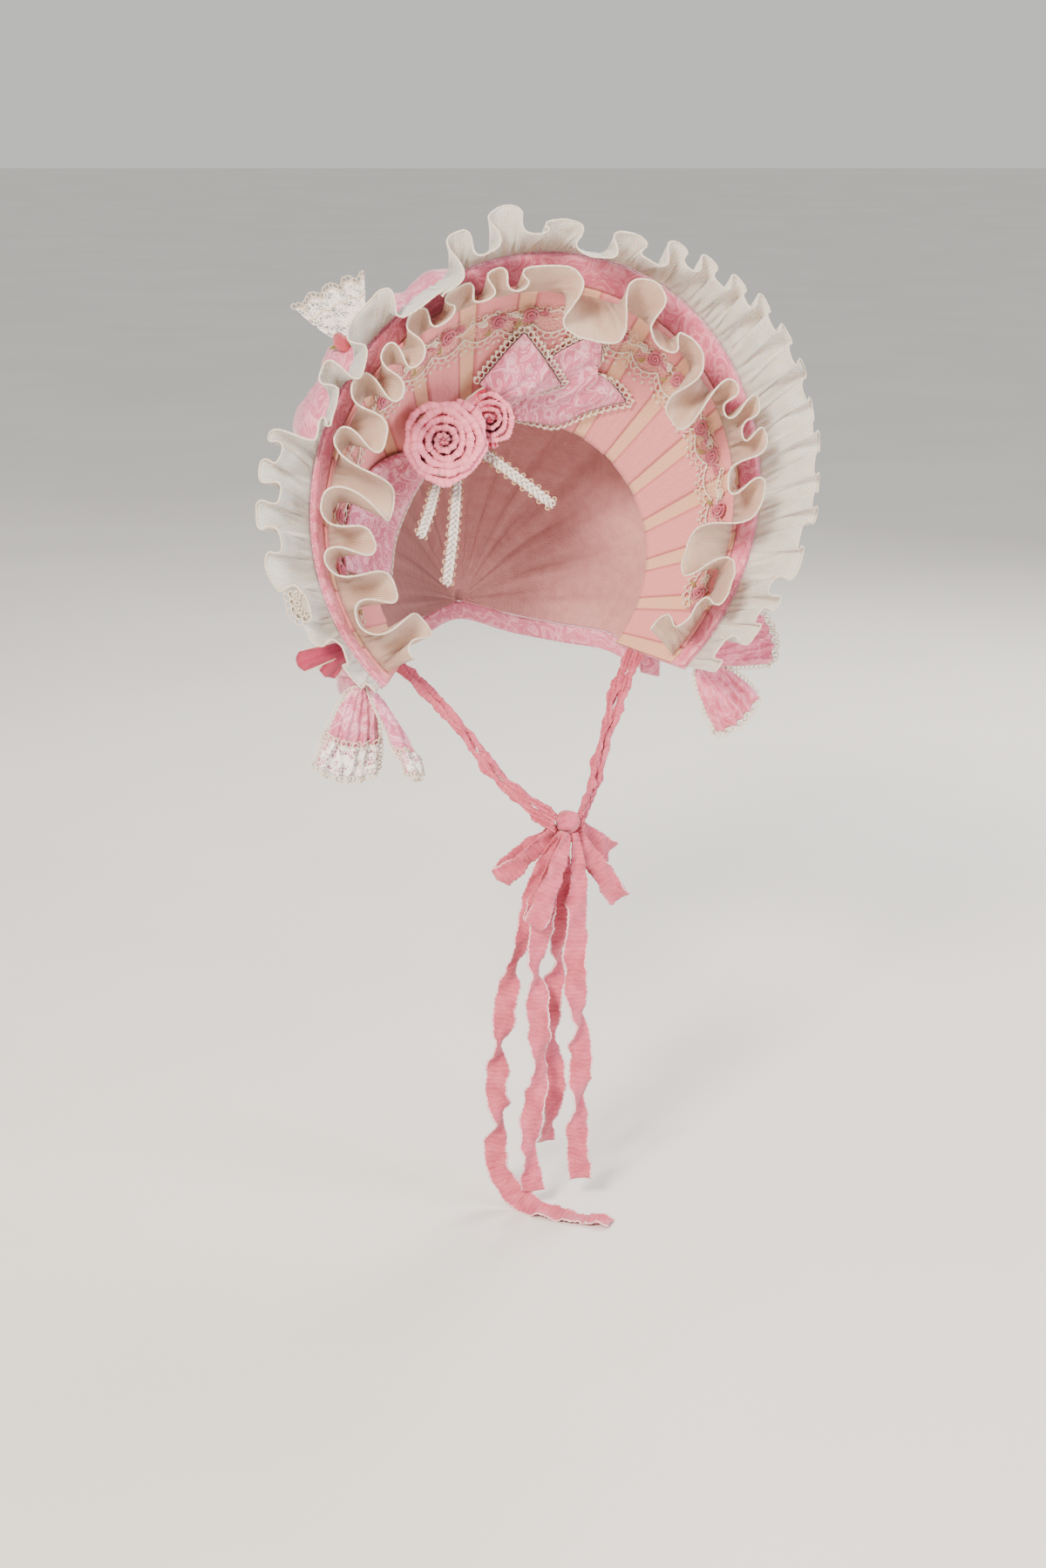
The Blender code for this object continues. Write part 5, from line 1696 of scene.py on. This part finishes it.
@dataclass
class CrownTrim:
    """Rosebuds, lace fan, lace flower and satin loops on the crown and brim."""

    buds: tuple = ((-0.350, 0.360), (-0.235, 0.255), (-0.880, 0.150))
    brim_buds: tuple = (0.045, 0.125)
    bud_room: float = 0.0003
    brim_bud_room: float = 0.0014
    fan_at: tuple[float, float] = (-0.33, 0.43)
    fan_lean: tuple[float, float, float] = (0.12, 0.05, 0.30)
    fan_across: tuple[float, float, float] = (0.55, -0.25, 0.80)
    fan_room: float = 0.0006
    fan_length: float = 0.027
    fan_widths: tuple[float, float] = (0.0175, 0.050)
    fan_wall: float = 0.0004
    flower_at: tuple[float, float] = (-0.83, 0.30)
    flower_faces: tuple[float, float, float] = (-0.775, -0.595, -0.213)
    flower_room: float = 0.0021
    satin_at: tuple[float, float] = (-0.90, 0.90)
    satin_room: float = 0.0004
    satin_widths: tuple[float, float] = (0.007, 0.013)

    def dress(self) -> None:
        """Make the trimmings."""
        for number, (u, share) in enumerate(self.buds, 1):
            point, normal = CROWN.frame(u, share)
            seat = point + normal * (CROWN.wall / 2 + GAP + self.bud_room)
            RoseBud(number, seat, normal).dress()
        for number, u in enumerate(self.brim_buds, len(self.buds) + 1):
            point, _, out_way, normal = BRIM.frame(u, 0.93)
            seat = point - normal * (BRIM.wall / 2 + GAP + self.brim_bud_room)
            RoseBud(number, seat, unit(out_way * 0.9 - normal)).dress()
        self.dress_fan()
        self.dress_flower()
        self.dress_satin()

    def dress_fan(self) -> None:
        """Make the gathered fan of white net lace with its picot edge.

        Four scallops of depth * |cos(2 pi t)| round off its free end.
        """
        point, normal = CROWN.frame(*self.fan_at)
        root = point + normal * (CROWN.wall / 2 + GAP + self.fan_room)
        way = unit(normal + np.array(self.fan_lean))
        middle, _, up, along = fan_grid(
            root, way, self.fan_across, self.fan_length, self.fan_widths, 7, 0.0016
        )
        share = np.linspace(0, 1, len(middle))[:, None]
        across = np.linspace(-1, 1, middle.shape[1])[None, :]
        scallop = 0.0042 * np.abs(np.cos(2 * math.pi * across)) * share**2
        curl = 0.0030 * np.sin(3.3 * across + 0.6) * share**2
        middle = middle + scallop[..., None] * along + curl[..., None] * up
        shape = Shape().add(cloth(middle, self.fan_wall))
        shape.add(picot_rings(middle[-1], along, up, FAN_PICOTS), 1)
        shape.add(thread_line(middle[-1], up, HEM_THREAD), 1)
        shape.add(thread_line(middle[22], up, PIPING_RADIUS), 1)
        shape.piece(
            "white_lace_fan",
            [WHITE_NET, EDGE_THREAD],
            "white_lace",
            ["lace_fan"],
            (flat_size(middle), Held.GATHERED),
        )

    def dress_flower(self) -> None:
        """Make the crochet flower: a cupped disc under rings of thread loops."""
        point, _ = CROWN.frame(*self.flower_at)
        normal = unit(np.array(self.flower_faces))
        centre = point + normal * (CROWN.wall / 2 + GAP + self.flower_room)
        across, up, along = frame_on(normal)
        disc = np.array(FLOWER_DISC)
        shape = Shape().add(turned(disc, centre, normal, lambda a, h: 1 + 0.10 * np.cos(5 * a), 60))
        for radius, height, width, count in (
            (0.0138, 0.0030, 0.0052, 22),
            (0.0092, 0.0036, 0.0046, 15),
            (0.0048, 0.0040, 0.0034, 9),
        ):
            angle = np.linspace(0, 2 * math.pi, count * 6 + 1)
            swell = (1 + 0.08 * np.cos(5 * angle))[:, None] * radius
            out = across * np.cos(angle)[:, None] + up * np.sin(angle)[:, None]
            path = centre + out * swell + along * height
            loops = Picots(2 * math.pi * radius / count, width, FLOWER_THREAD)
            shape.add(picot_rings(path, out, along, loops))
        shape.piece("crochet_flower", [LACE_THREAD], "lace", ["lace_flower"])

    def dress_satin(self) -> None:
        """Make the deep pink satin loops behind the left corner of the brim."""
        point, _, _, normal = BRIM.frame(*self.satin_at)
        seat = point - normal * (BRIM.wall / 2 + GAP + self.satin_room)
        shape = Shape()
        for way, across, reach in (
            ((-0.82, 0.32, -0.30), (0.35, 0.10, 0.90), 0.035),
            ((-0.55, 0.38, -0.80), (0.80, 0.10, -0.50), 0.026),
        ):
            middle, thick, up, along = fan_grid(
                seat, way, across, reach, self.satin_widths, 2, 0.0006
            )
            open_up = (0.0006 + 0.0030 * thick)[..., None] * up
            shape.add(slab(middle + open_up, middle - open_up))
            for edge in (0, -1):
                shape.add(thread_line(middle[:, edge], up, HEM_THREAD), 1)
        shape.piece("satin_loops", [SATIN, EDGE_THREAD], "satin", ["satin_loop"], fill=0.2)


@dataclass
class SideBows:
    """Small lace-trimmed bows under both outer corners of the brim."""

    knot_radius: float = 0.0060
    at: float = 0.965
    wall: float = 0.0014
    puff: float = 0.0045
    root_width: float = 0.006
    # Rows: side, part, way out, way across, length, width
    loops: tuple = (
        (-1, "fan", (-0.16, 0.06, -0.98), (0.98, 0.10, -0.16), 0.058, 0.042),
        (-1, "wing", (0.46, -0.14, -0.88), (0.35, 0.90, 0.10), 0.064, 0.028),
        (1, "upper", (0.92, 0.10, 0.16), (-0.16, 0.20, 0.96), 0.050, 0.034),
        (1, "lower", (0.62, 0.02, -0.78), (0.78, 0.10, 0.62), 0.048, 0.038),
    )

    def knot(self, side: int) -> Array:
        """Return the middle of a side's knot."""
        point, _, _, normal = BRIM.frame(side * self.at, 0.90)
        return point - normal * (BRIM.wall / 2 + GAP + self.knot_radius)

    def dress(self) -> None:
        """Make the four loops and the two knots."""
        for side, part, way, across, length, width in self.loops:
            label = "left" if side < 0 else "right"
            root = self.knot(side) + unit(np.array(way)) * (self.knot_radius + GAP)
            middle, thick, up, along = fan_grid(
                root, way, across, length, (self.root_width, width), 5, 0.0021, 0.5
            )
            share = np.linspace(0, 1, len(middle))[:, None]
            over = np.linspace(-1, 1, middle.shape[1])[None, :]
            middle = middle + (0.0022 * ripple(share * 5, over * 4, 2.0) * share)[..., None] * up
            body = (self.wall / 2 + self.puff * 0.6 * thick)[..., None] * up
            shape = Shape().add(slab(middle + body, middle - body))
            first = 21 if part == "fan" else 25
            for turn in (-1, 1) if side < 0 else ():
                over = (middle + turn * (body + 0.0006 * up))[first:]
                shape.add(cloth(over, 0.0003), 2)
            for edge in (0, -1):
                out = unit(middle[:, edge] - middle[:, middle.shape[1] // 2])
                shape.add(picot_rings(middle[:, edge], out, up, SIDE_PICOTS), 1)
            shape.add(picot_rings(middle[-1], along, up, SIDE_END_PICOTS), 1)
            for turn in (-1, 1) if side < 0 else ():
                line = (middle + turn * (body + 0.0010 * up))[first]
                shape.add(picot_rings(line, -along, up * turn, SIDE_NET_PICOTS), 1)
            node = f"side_bow_{label}_{part}"
            # The right bows take the darkened damask: painted shade
            looks = [BOW_DAMASK if side < 0 else PAINTED_SHADE_DAMASK, LACE_THREAD, WHITE_NET]
            shape.piece(f"{node}_damask", looks, "bow_lace", [node], fill=0.3)
        for side, label in ((-1, "left"), (1, "right")):
            profile, axis = ball(self.knot_radius, 0.3, 19), np.array([0.0, 0.3, 1.0])
            body = turned(
                profile, self.knot(side), axis, lambda a, h: 0.97 + 0.03 * np.cos(9 * a), 54
            )
            node = f"side_bow_{label}_knot"
            Shape().add(body).piece(f"{node}_damask", [BOW_DAMASK], "damask", [node])


# ---------------------------------------------------------------- chin ribbons

# Columns: side and drop as shares of the loop length, then how far behind the knot it lies
LOOP_ROWS = (
    (-0.68, -0.60, 0.0120), (-0.46, -0.98, -0.0180), (0.62, -0.92, 0.0130), (0.58, -0.46, 0.0245),
)

# Rows from the knot down. Columns: drop, side and front as shares of the tail length, and
# the turn in degrees
TAILS = (
    (
        (0.030, -0.018, -0.008, 0.0), (0.140, -0.075, -0.008, 5.0),
        (0.260, -0.098, -0.012, 10.0), (0.370, -0.135, -0.026, -50.0),
        (0.480, -0.155, -0.030, 40.0), (0.590, -0.172, -0.030, -55.0),
        (0.690, -0.180, -0.030, 50.0), (0.790, -0.172, -0.030, -50.0),
        (0.880, -0.184, -0.026, 35.0), (0.952, -0.165, -0.004, 12.0),
        (0.990, -0.120, 0.070, 2.0), (1.000, -0.040, 0.150, 0.0),
        (1.000, 0.050, 0.215, 0.0),
    ),
    (
        (0.030, -0.014, 0.012, 0.0), (0.150, -0.050, 0.018, 5.0),
        (0.270, -0.080, 0.026, 10.0), (0.380, -0.096, 0.040, -50.0),
        (0.500, -0.092, 0.050, 45.0), (0.620, -0.090, 0.050, -50.0),
        (0.730, -0.105, 0.050, 45.0), (0.840, -0.118, 0.050, -40.0),
        (0.960, -0.108, 0.050, 20.0),
    ),
    (
        (0.030, 0.006, -0.010, 0.0), (0.130, -0.012, -0.010, -5.0),
        (0.250, -0.010, -0.012, 10.0), (0.370, -0.020, -0.026, -50.0),
        (0.480, -0.036, -0.030, 45.0), (0.590, -0.038, -0.030, -50.0),
        (0.700, -0.024, -0.030, 45.0), (0.800, -0.040, -0.030, -45.0),
        (0.860, -0.048, -0.030, -20.0),
    ),
    (
        (0.030, 0.017, 0.011, 0.0), (0.150, 0.022, 0.018, 8.0), (0.270, 0.016, 0.026, -15.0),
        (0.390, 0.008, 0.040, 45.0), (0.510, 0.014, 0.050, -50.0), (0.620, 0.020, 0.050, 45.0),
        (0.730, 0.014, 0.050, -50.0), (0.840, 0.012, 0.050, 40.0), (0.940, 0.020, 0.050, 15.0),
    ),
)


@dataclass
class ChinRibbons:
    """Crinkled ribbons from both brim tips to a knot, with four loops and four tails."""

    knot: tuple[float, float, float] = (0.010, -0.088, -0.240)
    knot_radius: float = 0.0078
    width: float = 0.0150
    strap_width: float = 0.0060
    strap_from: float = 0.20
    strap_spacing: float = 0.0085
    wall: float = 0.0008
    cad_wall: float = 0.0010
    loop_length: float = 0.060
    loop_depth: float = 0.0080
    tail_length: float = 0.250
    strap_bunch: float = 0.0013
    step: float = 0.0011

    def ribbon(
        self,
        node: str,
        path: Array,
        across: Array,
        widths: Array,
        seed: float,
        bunch: float = 0.0,
    ) -> None:
        """Make a ribbon flat across the given ways, with ruched edges.

        Crosswise crinkles lift it by small ripples, strongest at its edges. A bunched
        ribbon is also folded along its length as bunch * cos(2.5 * pi * t).

        Args:
            node: node that it replaces.
            path: middle line.
            across: way across at each point.
            widths: width at each point.
            seed: shift of the crinkles.
            bunch: height of the lengthwise folds.
        """
        long = float(travelled(path)[-1])
        rows = np.concatenate([path, across, widths[:, None]], 1)
        fine = evenly(rows, max(24, int(long / self.step)))
        middle, side = fine[:, :3], unit(fine[:, 3:6])
        t = np.linspace(-1, 1, 31 if bunch else 15)[None, :]
        far = travelled(middle)[:, None]
        normal = unit(np.cross(np.gradient(middle, axis=0), side))
        edges = 1 + 0.05 * np.sin(far * 1900 + seed * 3) + 0.13 * ripple(far * 330, t, 1.0, seed)
        half = fine[:, 6:7] / 2 * edges
        lift = 0.00050 * ripple(far * 1100, t * 3, 1.0, seed) * (0.35 + 0.65 * t**2)
        lift = lift + 0.0016 * np.abs(t) ** 3 * ripple(far * 420, np.sign(t) * 2, 1.0, seed)
        curl = -0.0012 * t**2 * np.sin(far * 120 + seed)
        curl = curl + 0.0008 * np.sin(far * 260 + 2.4 * t + seed)
        turn = seed + 1.5 * np.sin(far * 60 + seed)
        curl = curl + bunch * np.cos(2.5 * math.pi * t + turn)
        grid = middle[:, None] + side[:, None] * (half * t)[..., None]
        grid = grid + normal[:, None] * (lift + curl)[..., None]
        places = np.stack(np.broadcast_arrays(far, t * fine[:, 6:7] / 2), -1)
        spread = float(np.linalg.norm(np.diff(grid, axis=1), axis=-1).sum(axis=1).max())
        flat = ((spread, long), Held.HUNG)
        Shape().add(cloth(grid, self.wall, places)).piece(
            f"{node}_ribbon", [CHIN_RIBBON], "ribbon", [node], flat
        )

    @staticmethod
    def swell(angle: Array, height: Array) -> Array:
        """Return the knot's radius factor: five folds that bend a little with the height."""
        return 0.90 + 0.10 * np.cos(5 * angle + 2.4 * np.sin(2 * height))

    def dress(self) -> None:
        """Make the knot, the straps, the loops and the tails."""
        knot = np.array(self.knot)
        profile, axis = ball(self.knot_radius, 0.35, 25), np.array([1.0, 0.0, 0.15])
        body = turned(profile, knot, axis, self.swell, 96)
        Shape().add(body).piece("chin_knot_ribbon", [KNOT_GAUZE], "ribbon", ["chin_knot"])
        self.dress_straps(knot)
        self.dress_loops(knot)
        self.dress_tails(knot)

    def dress_straps(self, knot: Array) -> None:
        """Make two straps a side, from the brim's tips to the knot."""
        for side, label in ((-1, "left"), (1, "right")):
            for order in (0, 1):
                share = self.strap_from + order * self.strap_spacing / BRIM.tip_width
                point, round_way, out_way, _ = BRIM.frame(side * 1.0, share)
                start = point + round_way * side * (GAP + 0.0002)
                lane = (0.5 - order) * self.strap_width * 1.15
                end = knot + np.array([side * (self.knot_radius + GAP), 0.0, lane])
                cheek = start * 0.62 + end * 0.38 + np.array([side * 0.004, 0.010, 0.006])
                jaw = start * 0.25 + end * 0.75 + np.array([side * 0.004, 0.010, -0.003])
                path = through([start, cheek, jaw, end], 40)
                share_way = np.linspace(0, 1, 40)[:, None]
                across = unit(out_way * (1 - share_way) - DOWN * share_way)
                node = f"chin_strap_{label}_{order + 1}"
                widths = np.full(len(path), self.strap_width)
                self.ribbon(node, path, across, widths, side + order * 2.0, self.strap_bunch)

    def dress_loops(self, knot: Array) -> None:
        """Make the four loops: out from the knot, round and back behind.

        The ribbon is squeezed to a rounded tip where it turns back, and twists a little.
        """
        for number, (side, drop, layer) in enumerate(LOOP_ROWS, 1):
            reach = np.array([side, 0.0, drop]) * self.loop_length
            out = unit(reach)
            leave = unit(reach * 0.5 + np.array([0.0, layer * 2.0, 0.0]))
            root = knot + leave * (self.knot_radius + GAP + self.cad_wall)
            far = knot + reach + np.array([0.0, layer, 0.0])
            depth = np.array([0.0, self.loop_depth / 2, 0.0])
            rows = [
                root - depth * 0.25,
                root * 0.5 + far * 0.5 - depth,
                root * 0.1 + far * 0.9 - depth * 0.8,
                far + out * 0.002,
                root * 0.1 + far * 0.9 + depth * 0.8,
                root * 0.5 + far * 0.5 + depth,
                root + depth * 0.25,
            ]
            path = through(rows, 85)
            share = np.linspace(0.0, 1.0, 85)
            swell = np.sin(math.pi * share) ** 0.5
            tip = np.clip(np.abs(share - 0.5) / 0.11, 0, 1)
            swell = swell * np.sqrt(np.clip(1 - (1 - tip) ** 2, 0.10, 1))
            flat = unit(np.cross(out, [0.0, 1.0, 0.0]))
            turn = 0.28 * np.sin(2 * math.pi * share + number)[:, None]
            across = flat * np.cos(turn) + np.array([0.0, 1.0, 0.0]) * np.sin(turn)
            widths = self.width * (0.30 + 0.70 * swell)
            self.ribbon(f"chin_loop_{number}", path, across, widths, number * 1.3)

    def dress_tails(self, knot: Array) -> None:
        """Make the four twisting tails."""
        for number, rows in enumerate(TAILS, 1):
            samples = 12 * (len(rows) - 1) + 1
            read = through(rows, samples)
            path = knot + np.stack([read[:, 1], -read[:, 2], -read[:, 0]], 1) * self.tail_length
            path[0] = knot + unit(path[0] - knot) * (self.knot_radius + GAP + self.cad_wall / 2)
            way = unit(np.gradient(path, axis=0))
            level = unit(np.cross(way, [0.0, 1.0, 0.0]))
            lying = np.clip(np.abs(way[:, 2:3]) * 2.0, 0, 1)
            flat = unit(np.cross(way, [0.0, 0.0, 1.0]))
            same = np.sign((flat * level).sum(axis=1, keepdims=True))
            base = unit(level * lying + flat * (1 - lying) * same)
            other = np.cross(way, base)
            turn = np.radians(read[:, 3:4])
            across = base * np.cos(turn) + other * np.sin(turn)
            grow = np.interp(np.arange(samples), [0, 20], [0.28, 1.0])
            self.ribbon(f"chin_tail_{number}", path, across, self.width * grow, number * 2.1)


# ---------------------------------------------------------------- light and camera


@dataclass
class Studio:
    """Pale floor, soft light and the camera that looks at the bonnet."""

    floor: float = -0.492
    yaw: float = 17.0
    pitch: float = 14.0
    distance: float = 1.900
    focal_share: float = 3325 / 1799
    film: float = 36.0
    half_floor: float = 80.0
    aim: tuple[float, float] = (0.007, -0.236)

    @staticmethod
    def stand(name: str, data: Any, place: Vector, away: Vector) -> bpy.types.Object:
        """Put a camera or a light at a place, with its back turned to the given way."""
        made = bpy.data.objects.new(name, data)
        bpy.context.scene.collection.objects.link(made)
        turn = away.to_track_quat("Z", "Y").to_matrix().to_4x4()
        made.matrix_world = Matrix.Translation(place) @ turn
        return made

    def camera(self) -> None:
        """Aim the camera at the point that lies aim to the side and up of the origin."""
        yaw, pitch = math.radians(self.yaw), math.radians(self.pitch)
        right = Vector((math.cos(yaw), -math.sin(yaw), 0.0))
        level = Vector((-math.sin(yaw), -math.cos(yaw), 0.0))
        up = Vector((0.0, 0.0, 1.0))
        target = right * self.aim[0] + up * self.aim[1]
        away = level * math.cos(pitch) + up * math.sin(pitch)
        data = bpy.data.cameras.new("camera")
        data.sensor_fit = "VERTICAL"
        data.sensor_height = self.film
        data.lens = self.film * self.focal_share
        data.clip_start = 0.05
        data.clip_end = 20.0
        bpy.context.scene.camera = self.stand("camera", data, target + away * self.distance, away)

    def light(self, name: str, place: tuple, size: float, power: float, colour: str) -> None:
        """Add a square soft light that looks at the middle of the bonnet."""
        data = bpy.data.lights.new(name, "AREA")
        data.size = size
        data.energy = power
        data.color = linear(colour)[:3]
        self.stand(name, data, Vector(place), Vector(place) - Vector((0.0, 0.0, -0.10)))

    def dress(self) -> None:
        """Set the floor, the lights, the world and the camera."""
        mesh = bpy.data.meshes.new("floor")
        signs = ((-1, -1), (1, -1), (1, 1), (-1, 1))
        corners = [(x * self.half_floor, y * self.half_floor, self.floor) for x, y in signs]
        mesh.from_pydata(corners, [], [(0, 1, 2, 3)])
        paper = bpy.data.materials.new("pale paper")
        paper.use_nodes = True
        tree = paper.node_tree
        place = add_node(tree, "ShaderNodeTexCoord").outputs["Object"]
        cloud = add_noise(tree, place, 3.0, 2.0)
        colour = add_ramp(tree, cloud, [(0.3, "#E4E1DC"), (0.7, "#EAE7E2")])
        tree.links.new(colour, tree.nodes["Principled BSDF"].inputs["Base Color"])
        tree.nodes["Principled BSDF"].inputs["Roughness"].default_value = 0.9
        mesh.materials.append(paper)
        floor = bpy.data.objects.new("floor", mesh)
        bpy.context.scene.collection.objects.link(floor)
        world = bpy.data.worlds.new("studio")
        world.use_nodes = True
        world.node_tree.nodes["Background"].inputs["Color"].default_value = linear("#F3F2F0")
        world.node_tree.nodes["Background"].inputs["Strength"].default_value = 0.80
        bpy.context.scene.world = world
        self.light("key", (-1.3, -1.7, 1.1), 0.55, 112.0, "#FFF0DF")
        self.light("fill", (1.5, -1.5, 0.5), 1.0, 38.0, "#FBFAFF")
        self.light("back", (1.2, 1.2, 1.0), 0.8, 48.0, "#FFF8F0")
        self.camera()


def main() -> None:
    """Build the bonnet in order and set up the view."""
    logging.basicConfig(level=logging.INFO, format="%(name)s: %(message)s")
    BrimShell().dress()
    CROWN.dress()
    Ruffle(
        "outer_ruffle_chiffon", "outer_ruffle", "white_chiffon", WHITE_CHIFFON,
        OUTER_TURNS, 1.0, GAP + 0.0002, 0.040, False,
    ).dress()
    Ruffle(
        "inner_ruffle_chiffon", "inner_ruffle", "cream_chiffon", CREAM_CHIFFON,
        INNER_TURNS, 0.80, BRIM.ruffle_foot, 0.040, True,
    ).dress()
    RoseLace().dress()
    Bow().dress()
    LARGE_ROSE.dress()
    SMALL_ROSE.dress()
    for number, route in enumerate(BRAID_ROUTES, 1):
        Braid(number, route).dress()
    CrownTrim().dress()
    SideBows().dress()
    ChinRibbons().dress()
    Studio().dress()


if __name__ == "__main__":
    main()
